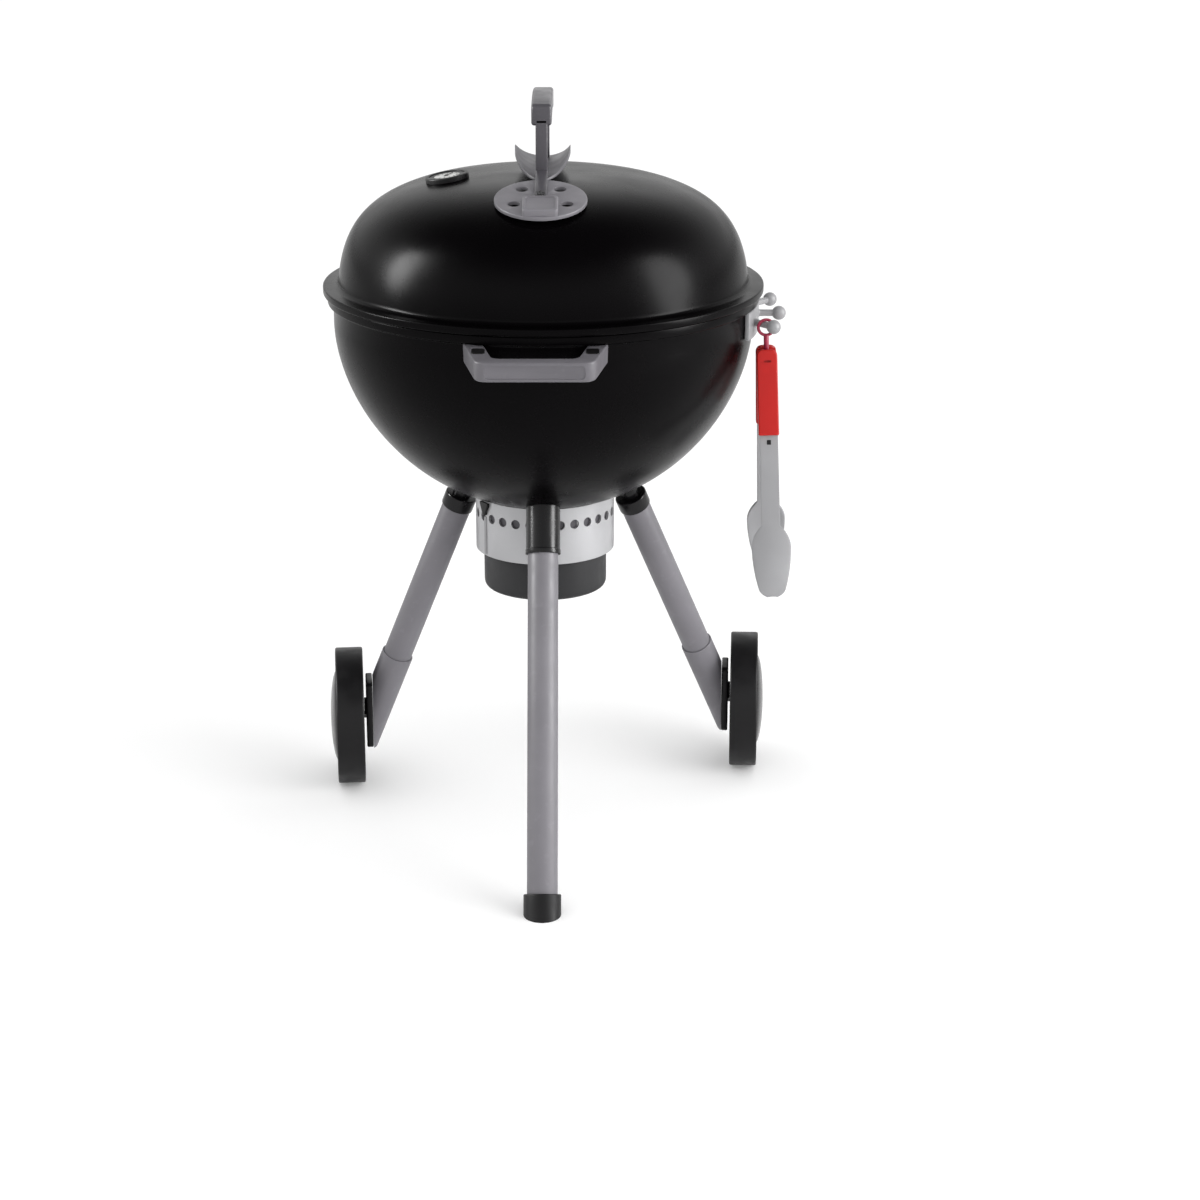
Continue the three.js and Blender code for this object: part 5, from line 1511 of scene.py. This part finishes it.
@dataclass
class Wheels:
    """Two flat-treaded wheels with bulging hub caps, on plates at the rear legs' ends."""

    radius: float = 59.62
    width: float = 24.0
    half_track: float = 174.0
    back: float = 103.5
    skew: float = 21.0
    centre_height: float = 59.62
    pair_turn: float = 1.1
    toe: float = 4.1
    edge: float = 2.0
    rim: float = 7.5
    recess: float = 14.0
    hub_radius: float = 10.0
    axle_radius: float = 3.0
    cap_radius: float = 40.0
    cap_seat: float = 1.6
    cap_bulge: float = 4.8
    cap_wall: float = 1.6
    plate_outside: float = 14.0
    plate_inside: float = 20.0
    plate_height: float = 60.0
    plate_width: float = 34.0
    plate_lift: float = 4.0
    plate_edge: float = 1.2
    boss_radius: float = 7.5
    ribs: int = 8

    def place(self, side: int) -> Matrix:
        """Return a wheel's frame: -1 is the left one."""
        origin = (side * self.half_track, self.back + side * self.skew, self.centre_height)
        return standing(origin, self.pair_turn - side * self.toe)

    def outboard(self, side: int) -> Matrix:
        """Return a wheel's frame with its Z towards the outer side."""
        return self.place(side) @ spin(90 * side, "Y")

    def plate_point(self, side: int) -> Vector:
        """Return where the axle meets the inside of its plate, in the kettle's frame in millimetres."""
        inside = Vector((-side * self.plate_inside * MM, 0, 0))
        return (KETTLE.inverted() @ self.place(side) @ inside) / MM

    def wheel(self) -> Piece:
        """Return a wheel, hollow on its inner side, with ribs from hub to rim."""
        inner, outer, tread = -self.width / 2, self.width / 2, self.radius
        rim, edge, bore = self.radius - self.rim, self.edge, self.axle_radius + GAP
        floor, seat = inner + self.recess, outer - self.cap_seat
        profile = [
            (bore, inner),
            (self.hub_radius, inner, 0.6, 3),
            (self.hub_radius, floor),
            (rim - edge, floor),
            (rim - 0.3, inner + 0.6),
            (rim, inner),
            (tread, inner, edge, 6),
            (tread, outer, edge, 6),
            *corner((rim + 0.4, outer), (rim, outer), (rim - 0.3, outer - 0.5), 3),
            (rim - edge, seat),
            (bore, seat),
            (bore, inner),
        ]
        piece = turned("wheel", profile, WHEEL_STEPS)
        span, middle = (rim - self.hub_radius) / 2, (rim + self.hub_radius) / 2 - 1
        rib = slab("rib", rounded_box(1.1, span, 0.5, (0, middle)), inner + 4, floor + 0.5)
        ribs = repeated(rib, [spin(360 / self.ribs * index) for index in range(self.ribs)])
        return together("wheel", piece, *ribs)

    def cap(self) -> Piece:
        """Return a thin bulging hub cap."""
        base = self.width / 2 - self.cap_seat + GAP
        rise = self.cap_seat + self.cap_bulge
        turns = [math.pi / 2 * step / 20 for step in range(21)]
        outer = arc(turns, self.cap_radius, rise, (0.0, base))
        inner = arc(turns, self.cap_radius - self.cap_wall, rise - self.cap_wall, (0.0, base))
        profile = [(0, inner[-1][1]), *reversed(inner[:-1]), *outer[:-1], (0, outer[-1][1])]
        return turned("cap", profile, DISC_STEPS)

    def plate(self) -> Piece:
        """Return an axle plate with its boss."""
        half = self.plate_height / 2
        outline = rounded_box(self.plate_width / 2, half, 5.0)
        piece = slab("plate", outline, -self.plate_inside + GAP, -self.plate_outside)
        softened(piece, self.plate_edge, 3)
        low, high = -self.plate_outside - GAP, -self.width / 2 - GAP
        boss = rod("boss", self.boss_radius, low, high, SMALL_STEPS, 0.4)
        placed(boss, shift(-self.plate_lift, 0, 0))
        return together("plate", placed(piece, spin(90)), boss)

    def build(self) -> None:
        """Build and dress both wheels, their caps and plates."""
        wheel, cap, plate = self.wheel(), self.cap(), self.plate()
        for name, side in (("left", -1), ("right", 1)):
            out = self.outboard(side)
            body = f"wheel_{name}"
            fit(placed(copied(wheel, f"{name}_wheel"), out), body, Finish.BLACK, body)
            fit(placed(copied(cap, f"{name}_hub_cap"), out), body, Finish.GLOSS, f"hub_cap_{name}")
            piece = placed(copied(plate, f"{name}_axle_plate"), self.plate_place(side))
            fit(piece, "kettle", Finish.BLACK, f"axle_plate_{name}")
        for pattern in (wheel, cap, plate):
            bpy.data.objects.remove(pattern)

    def plate_place(self, side: int) -> Matrix:
        """Return the frame that a plate's pattern is set in, lifted over the axle."""
        lift = Matrix.Translation(Vector((0, 0, self.plate_lift * MM)))
        upright = spin(180) if side < 0 else Matrix.Identity(4)
        return self.place(side) @ lift @ spin(90 * side, "Y") @ upright


@dataclass
class Legs:
    """Three splayed tube legs in sockets under the bowl, the front one on a foot."""

    circle: float = 85.5
    socket_drop: float = 34.5
    front_splay: float = 24.7
    rear_azimuth: float = 121.0
    tube_radius: float = 12.25
    tube_wall: float = 1.8
    tube_edge: float = 0.4
    spigot: float = 20.0
    rear_radius: float = 13.5
    rear_length: float = 12.6
    rear_neck: float = 7.8
    front_radius: float = 13.7
    front_foot: float = 7.4
    front_bore: float = 20.0
    lip: float = 0.5
    lip_length: float = 4.0
    foot_radius: float = 15.0
    foot_height: float = 14.5
    foot_tube: float = 8.6
    sleeve_radius: float = 13.7
    sleeve_rise: float = 60.9
    sleeve_grip: float = 27.0

    def socket_place(self, azimuth: float) -> tuple[float, float, float]:
        """Return the middle of the socket at an azimuth."""
        turn = math.radians(azimuth)
        height = FORM.bowl_height(self.circle) - self.socket_drop
        return (self.circle * math.sin(turn), -self.circle * math.cos(turn), height)

    def rear_line(self, wheels: Wheels, side: int) -> Line:
        """Return a rear leg's line, from its socket to its axle plate."""
        origin = self.socket_place(side * self.rear_azimuth)
        run = wheels.plate_point(side) - Vector(origin)
        turn = math.degrees(math.atan2(run.x, -run.y))
        return Line(origin, turn, -math.degrees(math.atan2(math.hypot(run.x, run.y), -run.z)))

    def neck(self, radius: float, line: Line) -> Piece:
        """Return a socket's neck up to the bowl's underside."""
        piece = rod("neck", radius, 0, 2 * self.socket_drop)
        return trimmed(placed(piece, line.place), FORM.bowl_solid())

    def front_socket(self, line: Line) -> Piece:
        """Return the long socket of the front leg, which runs on up to the bowl."""
        low, radius, edge = -self.front_foot, self.front_radius, self.front_radius + self.lip
        bore, seat, top = self.tube_radius + GAP, low + self.front_bore, 2 * self.socket_drop
        profile = [
            (bore, low),
            (edge, low, 0.5, 3),
            (edge, low + self.lip_length - self.lip),
            (radius, low + self.lip_length),
            (radius, top),
            (0, top),
            (0, seat),
            (bore, seat),
            (bore, low),
        ]
        return trimmed(placed(turned("front_socket", profile), line.place), FORM.bowl_solid())

    def rear_socket(self, line: Line) -> Piece:
        """Return the short socket of a rear leg with its spigot."""
        half = self.rear_length / 2
        disc = rod("disc", self.rear_radius, -half, half, edge=1.2)
        radius = self.tube_radius - self.tube_wall - GAP
        spigot = rod("spigot", radius, -half - self.spigot, 0, edge=1.0)
        body = placed(together("body", disc, spigot), line.place)
        return together("rear_socket", body, self.neck(self.rear_neck, line))

    def tube(self, top: float, bottom: float) -> Piece:
        """Return a leg's tube between two distances down its line."""
        outside, inside = self.tube_radius, self.tube_radius - self.tube_wall
        bend = (self.tube_edge, 3)
        profile = [(inside, -bottom), (outside, -bottom, *bend), (outside, -top, *bend), (inside, -top)]
        return turned("tube", [*profile, profile[0]])

    def foot(self, line: Line) -> Piece:
        """Return the front foot, cut flat on the floor."""
        top, end = -line.down(self.foot_height), -line.down(self.foot_tube)
        bore, low = self.tube_radius + GAP, -line.down(-self.foot_radius)
        profile = [
            (0, low),
            (self.foot_radius, low),
            (self.foot_radius, top, 1.2, 5),
            (bore, top),
            (bore, end - GAP),
            (0, end - GAP),
        ]
        piece = placed(turned("foot", profile), line.place)
        return sliced(piece, Vector((0, 0, 0)), Vector((0, 0, -1)))

    def sleeve(self, line: Line, wheels: Wheels, side: int) -> Piece:
        """Return a rear leg's sleeve, cut upright where it lies on the axle plate."""
        top = -line.down(wheels.centre_height + self.sleeve_rise)
        low = -line.down(wheels.centre_height + wheels.plate_lift - wheels.plate_height / 2)
        bore, radius = self.tube_radius + GAP, self.sleeve_radius
        profile = [
            (0, low),
            (radius, low, 1, 4),
            (radius, top, 0.5, 3),
            (bore, top),
            (bore, top - self.sleeve_grip - GAP),
            (0, top - self.sleeve_grip - GAP),
        ]
        piece = placed(turned("sleeve", profile), line.place)
        wheel = wheels.place(side)
        point = wheel @ Vector((-side * wheels.plate_inside * MM, 0, 0))
        return sliced(piece, point, wheel.to_3x3() @ Vector((side, 0, 0)))

    def build(self, wheels: Wheels) -> None:
        """Build and dress the three legs.

        Args:
            wheels: the wheels that the rear legs run to.
        """
        line = Line(self.socket_place(0), 0, -self.front_splay)
        fit(self.front_socket(line), "kettle", Finish.GLOSS, "front_leg_socket")
        start = self.front_foot - self.front_bore + GAP
        tube = placed(self.tube(start, line.down(self.foot_tube)), line.place)
        fit(tube, "kettle", Finish.GREY, "front_leg_tube", name="front_tube")
        fit(self.foot(line), "kettle", Finish.BLACK, "front_foot", name="floor_foot")
        for name, side in (("left", -1), ("right", 1)):
            line = self.rear_line(wheels, side)
            socket = self.rear_socket(line)
            fit(socket, "kettle", Finish.GLOSS, f"rear_{name}_leg_socket", name=f"{name}_socket")
            end = line.down(wheels.centre_height + self.sleeve_rise) + self.sleeve_grip
            tube = placed(self.tube(self.rear_length / 2 + GAP, end), line.place)
            fit(tube, "kettle", Finish.GREY, f"rear_{name}_leg_tube", name=f"{name}_tube")
            sleeve = self.sleeve(line, wheels, side)
            fit(sleeve, "kettle", Finish.GREY, f"rear_{name}_leg_sleeve", name=f"{name}_sleeve")


# The tongs


@dataclass
class Tongs:
    """Toy tongs that hang half open by their ring on the front hook."""

    ring_radius: float = 6.2
    wire: float = 1.25
    along_hook: float = 13.0
    hook_radius: float = 2.7
    lean: float = 1.7
    opening: float = 13.0
    stem_radius: float = 2.1
    knuckle_half: float = 2.4
    knuckle_radius: float = 3.1
    knuckle_width: float = 2.0
    web_edge: float = 0.25
    pivot_drop: float = 24.0
    arm_width: float = 14.6
    arm_inside: float = 3.5
    arm_thickness: float = 2.2
    arm_above: float = 3.3
    arm_edge: float = 0.45
    grip_width: float = 16.4
    grip_thickness: float = 4.4
    grip_above: float = 4.0
    grip_below: float = 64.4
    grip_round: float = 5.0
    grip_foot: float = 1.2
    grip_edge: float = 1.2
    scoop_start: float = 137.0
    scoop_widest: float = 154.0
    scoop_tip: float = 193.0
    scoop_width: float = 30.5
    tip_width: float = 17.6
    flank_share: float = 0.98
    dish: float = 2.6
    arch: float = 0.25

    def place(self, holder: ToolHolder) -> Matrix:
        """Return the frame where the ring hangs on the front hook."""
        origin = holder.hook_place(-1) @ Vector((0, 0, self.along_hook * MM))
        return Matrix.Translation(origin) @ spin(-self.lean, "Y")

    def hanger(self) -> Piece:
        """Return the ring, its stem and the middle knuckle."""
        middle = self.hook_radius + GAP - self.ring_radius + self.wire
        turns = [math.tau * step / 16 for step in range(17)]
        loop = arc(turns, self.wire, self.wire, (self.ring_radius, 0.0))
        ring = turned("ring", loop)
        placed(ring, shift(0, 0, middle) @ TO_FRONT)
        top, half = middle - self.ring_radius, self.knuckle_half
        stem = rod("stem", self.stem_radius, -self.pivot_drop, top, SMALL_STEPS, 0.3)
        knuckle = rod("knuckle", self.knuckle_radius, -half, half, SMALL_STEPS, 0.3)
        across = spin(90, "Y")
        placed(knuckle, shift(0, 0, -self.pivot_drop) @ across)
        return together("hang_ring", ring, stem, knuckle)

    def half_width(self, drop: float) -> float:
        """Return half the arm's width at a distance below the pivot."""
        arm, scoop, tip = self.arm_width / 2, self.scoop_width / 2, self.tip_width / 2
        if drop <= self.scoop_start:
            return arm
        if drop <= self.scoop_widest:
            share = (drop - self.scoop_start) / (self.scoop_widest - self.scoop_start)
            return scoop - (1 - share) ** 2 * (scoop - arm)
        share = (drop - self.scoop_widest) / (self.scoop_tip - self.scoop_widest)
        flank = scoop * self.flank_share
        width = (1 - share) ** 2 * scoop + 2 * share * (1 - share) * flank + share**2 * tip
        bend = 5.0
        near = max(0.0, bend - (self.scoop_tip - drop))
        return width - (bend - math.sqrt(max(0.0, bend**2 - near**2)))

    def dish_at(self, drop: float) -> float:
        """Return how deep the arm's cross-section is dished at a distance below the pivot."""
        share = min(1.0, max(0.0, (drop - self.scoop_start) / (self.scoop_tip - self.scoop_start)))
        return self.arch + (self.dish - self.arch) * math.sin(math.pi * share) ** 0.7

    def sheet(self) -> Piece:
        """Return the front arm's sheet: a row of points, extruded down and widened row by row."""
        drops = [-self.arm_above, 20, self.grip_below - 0.3, 100, 125, self.scoop_start]
        drops += [self.scoop_start + 1.7 * step for step in range(1, 11)]
        drops += [self.scoop_widest + 3.4 * step for step in range(1, 11)]
        drops += [self.scoop_tip - rest for rest in (3.4, 2, 1, 0.3, 0)]
        count = 12
        across = [2 * index / count - 1 for index in range(count + 1)]
        wide, face = self.half_width(drops[0]), -self.arm_inside
        row = [(wide * x, face - self.arch * (1 - x * x), -drops[0]) for x in across]
        piece = drawn("arm", row)
        bpy.ops.mesh.select_all(action="SELECT")
        for above, below in pairwise(drops):
            down = {"value": (0, 0, (above - below) * MM)}
            bpy.ops.mesh.extrude_region_move(TRANSFORM_OT_translate=down)
            widen = self.half_width(below) / self.half_width(above)
            deepen = self.dish_at(below) / self.dish_at(above)
            middle = Vector((0, face, -below)) * MM
            bpy.ops.transform.resize(value=(widen, deepen, 1), center_override=middle)
        close_up()
        return piece

    def arm(self, start: float) -> Piece:
        """Return an arm with its two knuckles, which start at a distance from the middle."""
        plate = self.sheet()
        self.face_front(plate)
        modified(plate, "SOLIDIFY", thickness=self.arm_thickness * MM, offset=1.0, use_even_offset=True)
        softened(plate, self.arm_edge, 2)
        edit(plate)
        close_up()
        parts = [plate]
        outside = self.arm_inside + self.arm_thickness / 2
        for low, high in ((start, start + self.knuckle_width), (-start - self.knuckle_width, -start)):
            turn = spin(90, "Y")
            parts.append(placed(rod("knuckle", self.knuckle_radius, low, high, SMALL_STEPS, 0.3), turn))
            half = self.knuckle_radius
            web = slab("web", [(low, -outside), (high, -outside), (high, 0), (low, 0)], -half, half)
            parts.append(softened(web, self.web_edge, 2))
        return together("arm", *parts)

    def face_front(self, piece: Piece) -> None:
        """Turn an open sheet's faces to the front."""
        edit(piece)
        bpy.ops.mesh.normals_make_consistent(inside=False)
        bpy.ops.object.mode_set(mode="OBJECT")
        if sum(face.normal.y * face.area for face in piece.data.polygons) > 0:
            edit(piece)
            bpy.ops.mesh.flip_normals()
            bpy.ops.object.mode_set(mode="OBJECT")

    def grip(self) -> Piece:
        """Return the front arm's grip with its slot."""
        half = (self.grip_above + self.grip_below) / 2
        low = self.arm_inside + self.arm_thickness + GAP
        high = low + self.grip_thickness
        lift = self.grip_above - half
        around = low - self.arm_thickness
        bends = (self.grip_round, self.grip_foot)
        upper, lower = (rounded_box(self.grip_width / 2, half, bend, (0, lift)) for bend in bends)
        outline = [point for point in upper if point[1] > lift]
        outline += [point for point in lower if point[1] < lift]
        piece = slab("grip", outline, around, high)
        softened(piece, self.grip_edge, 5)
        slot = rounded_box(2.8, 0.8, 0.5, (0, self.grip_above - 9.5))
        trimmed(piece, softened(slab("slot_tool", slot, high - 2.4, high + OVERRUN), 0.15, 2))
        return placed(piece, TO_FRONT)

    def stud(self) -> Piece:
        """Return the dark square stud at the foot of a grip."""
        low = self.arm_inside + self.arm_thickness
        outline = rounded_box(1.7, 1.9, 0.6, (0, -self.grip_below - 5.6))
        return placed(softened(slab("stud", outline, low - 0.5, low + 0.5), 0.3, 3), TO_FRONT)

    def build(self, holder: ToolHolder) -> None:
        """Build and dress the tongs.

        Args:
            holder: the tool holder that they hang on.
        """
        hang = self.place(holder)
        fit(placed(self.hanger(), hang), "tongs", Finish.WINE, "tongs_hanger")
        pivot = hang @ shift(0, 0, -self.pivot_drop)
        first = self.knuckle_half + GAP
        for name, side in (("front", -1), ("rear", 1)):
            turn = pivot @ spin(side * self.opening, "X") @ Matrix.Scale(-side, 4, (0, 1, 0))
            start = first + (self.knuckle_width + GAP if side < 0 else 0.0)
            body = f"tongs_{name}"
            arm = placed(self.arm(start), turn)
            fit(arm, body, Finish.LIGHT, f"{body}_arm", name=f"{name}_arm")
            redressed(arm, Finish.RED, (turn @ Vector((0, 0, -self.grip_below * MM))).z)
            fit(placed(self.stud(), turn), body, Finish.BLACK, name=f"{name}_stud")
            fit(placed(self.grip(), turn), body, Finish.RED, f"{body}_grip", name=f"{name}_grip")


# Frame nodes that keep their shape


@dataclass
class Fittings:
    """Small steel pieces of the frame that are dressed as they are."""

    names: tuple[str, ...] = (
        *(f"bowl_handle_screw_{side}" for side in ("left", "right")),
        *(f"tool_holder_screw_{end}" for end in ("front", "rear")),
        *(f"lid_handle_screw_{end}" for end in ("front", "rear")),
        *(f"ash_collar_screw_{number}" for number in (1, 2, 3)),
        *(f"{leg}_leg_bolt" for leg in ("front", "rear_left", "rear_right")),
        *("axle_left", "axle_right", "damper_pivot", "thermometer_nut", "tongs_pin"),
    )

    def dress(self) -> None:
        """Give each its steel."""
        for name in self.names:
            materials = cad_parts[name].data.materials
            for index in range(len(materials)):
                materials[index] = Finish.STEEL.material()
            LOG.info("%s: steel", name)


# The studio


class Reach(Enum):
    """What a lamp is for."""

    SHADE = "lights only"
    SHINE = "is mirrored only"


@dataclass(frozen=True)
class Softbox:
    """An oval soft lamp aimed at the kettle."""

    name: str
    place: tuple[float, float, float]
    size: Flat
    power: float
    reach: Reach

    def light(self, aim: Vector) -> None:
        """Hang the lamp and aim it."""
        bpy.ops.object.light_add(type="AREA", location=self.place)
        lamp = bpy.context.object
        lamp.name = self.name
        lamp.data.shape = "ELLIPSE"
        lamp.data.size, lamp.data.size_y = self.size
        lamp.data.energy = self.power
        lamp.visible_glossy = self.reach is not Reach.SHADE
        lamp.visible_diffuse = self.reach is not Reach.SHINE
        lamp.rotation_euler = (aim - Vector(self.place)).to_track_quat("-Z", "Y").to_euler()


@dataclass
class Studio:
    """Pale floor, soft lamps, a white surround and the camera."""

    floor_size: float = 60.0
    lens: float = 86.88
    sensor: float = 36.0
    pitch: float = 71.75
    camera_place: tuple[float, float, float] = (0.04252, -2.28719, 0.9541)
    aim: tuple[float, float, float] = (0.0, 0.02, 0.4)
    softboxes: tuple[Softbox, ...] = (
        Softbox("softbox_key", (1.6, -0.9, 0.8), (1.7, 1.3), 21.0, Reach.SHADE),
        Softbox("softbox_left", (-1.49, -0.07, 1.03), (0.42, 0.95), 46.0, Reach.SHINE),
        Softbox("softbox_right", (1.62, -0.42, 0.9), (0.75, 1.6), 52.0, Reach.SHINE),
    )
    dome: float = 0.95
    mirrored: tuple[Flat, ...] = (
        *((0.0, 0.3), (0.46, 0.3), (0.52, 0.6), (0.565, 1.3), (0.62, 1.35)),
        *((0.69, 1.35), (0.74, 1.05), (0.8, 0.62), (0.9, 0.2), (1.0, 0.1)),
    )

    def floor(self) -> None:
        """Lay the floor."""
        bpy.ops.object.select_all(action="DESELECT")
        bpy.ops.mesh.primitive_plane_add(size=self.floor_size)
        floor = bpy.context.object
        floor.name = "floor"
        edit(floor)
        bpy.ops.mesh.subdivide(number_cuts=3)
        bpy.ops.object.mode_set(mode="OBJECT")
        floor.data.materials.append(FloorFinish().material())

    def world(self) -> None:
        """Surround the studio: white where seen, even where it lights, graded where it is mirrored."""
        world = bpy.data.worlds.new("surround")
        bpy.context.scene.world = world
        sheet = NodeSheet(world)
        direction = sheet.add("TexCoord").outputs["Generated"]
        height = sheet.add("SeparateXYZ", Vector=direction).outputs["Z"]
        share = sheet.spread(height, (-1.0, 1.0), (0.0, 1.0))
        ramp = sheet.add("ValToRGB", Fac=share)
        ramp.color_ramp.elements.remove(ramp.color_ramp.elements[1])
        for index, (place, level) in enumerate(self.mirrored):
            stop = ramp.color_ramp.elements[0] if index == 0 else ramp.color_ramp.elements.new(place)
            stop.position = place
            stop.color = (level, level, level, 1.0)
        path = sheet.add("LightPath").outputs
        seen = sheet.reckon("ADD", path["Is Camera Ray"], path["Is Transmission Ray"])
        lit = sheet.blend(path["Is Diffuse Ray"], ramp.outputs[0], scaled((self.dome,) * 3, 1.0))
        colour = sheet.blend(seen, lit, (1.0, 1.0, 1.0, 1.0))
        back = sheet.add("Background", Color=colour, Strength=1.0)
        sheet.add("OutputWorld", Surface=back.outputs[0])

    def camera(self) -> None:
        """Set up the camera at the photograph's viewing angle."""
        data = bpy.data.cameras.new("camera")
        data.lens = self.lens
        data.sensor_width = self.sensor
        data.clip_start, data.clip_end = 0.05, 200.0
        camera = bpy.data.objects.new("camera", data)
        bpy.context.scene.collection.objects.link(camera)
        camera.location = self.camera_place
        camera.rotation_euler = (math.radians(self.pitch), 0, 0)
        bpy.context.scene.camera = camera

    def build(self) -> None:
        """Set the whole studio up."""
        bpy.context.scene.view_settings.view_transform = "Standard"
        self.floor()
        self.world()
        for softbox in self.softboxes:
            softbox.light(Vector(self.aim))
        self.camera()
        LOG.info("studio is set")


def main() -> None:
    """Build every sub-assembly in order."""
    logging.basicConfig(level=logging.INFO, format="%(message)s")
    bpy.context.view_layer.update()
    Studio().build()
    Bowl().build()
    Grate().build()
    BowlHandle().build()
    holder = ToolHolder()
    holder.build()
    Lid().build()
    damper = Damper()
    LidHandle().build(damper.place, damper.distance)
    damper.build()
    Thermometer().build()
    AshCatcher().build()
    wheels = Wheels()
    Legs().build(wheels)
    wheels.build()
    Tongs().build(holder)
    Fittings().dress()


if __name__ == "__main__":
    main()
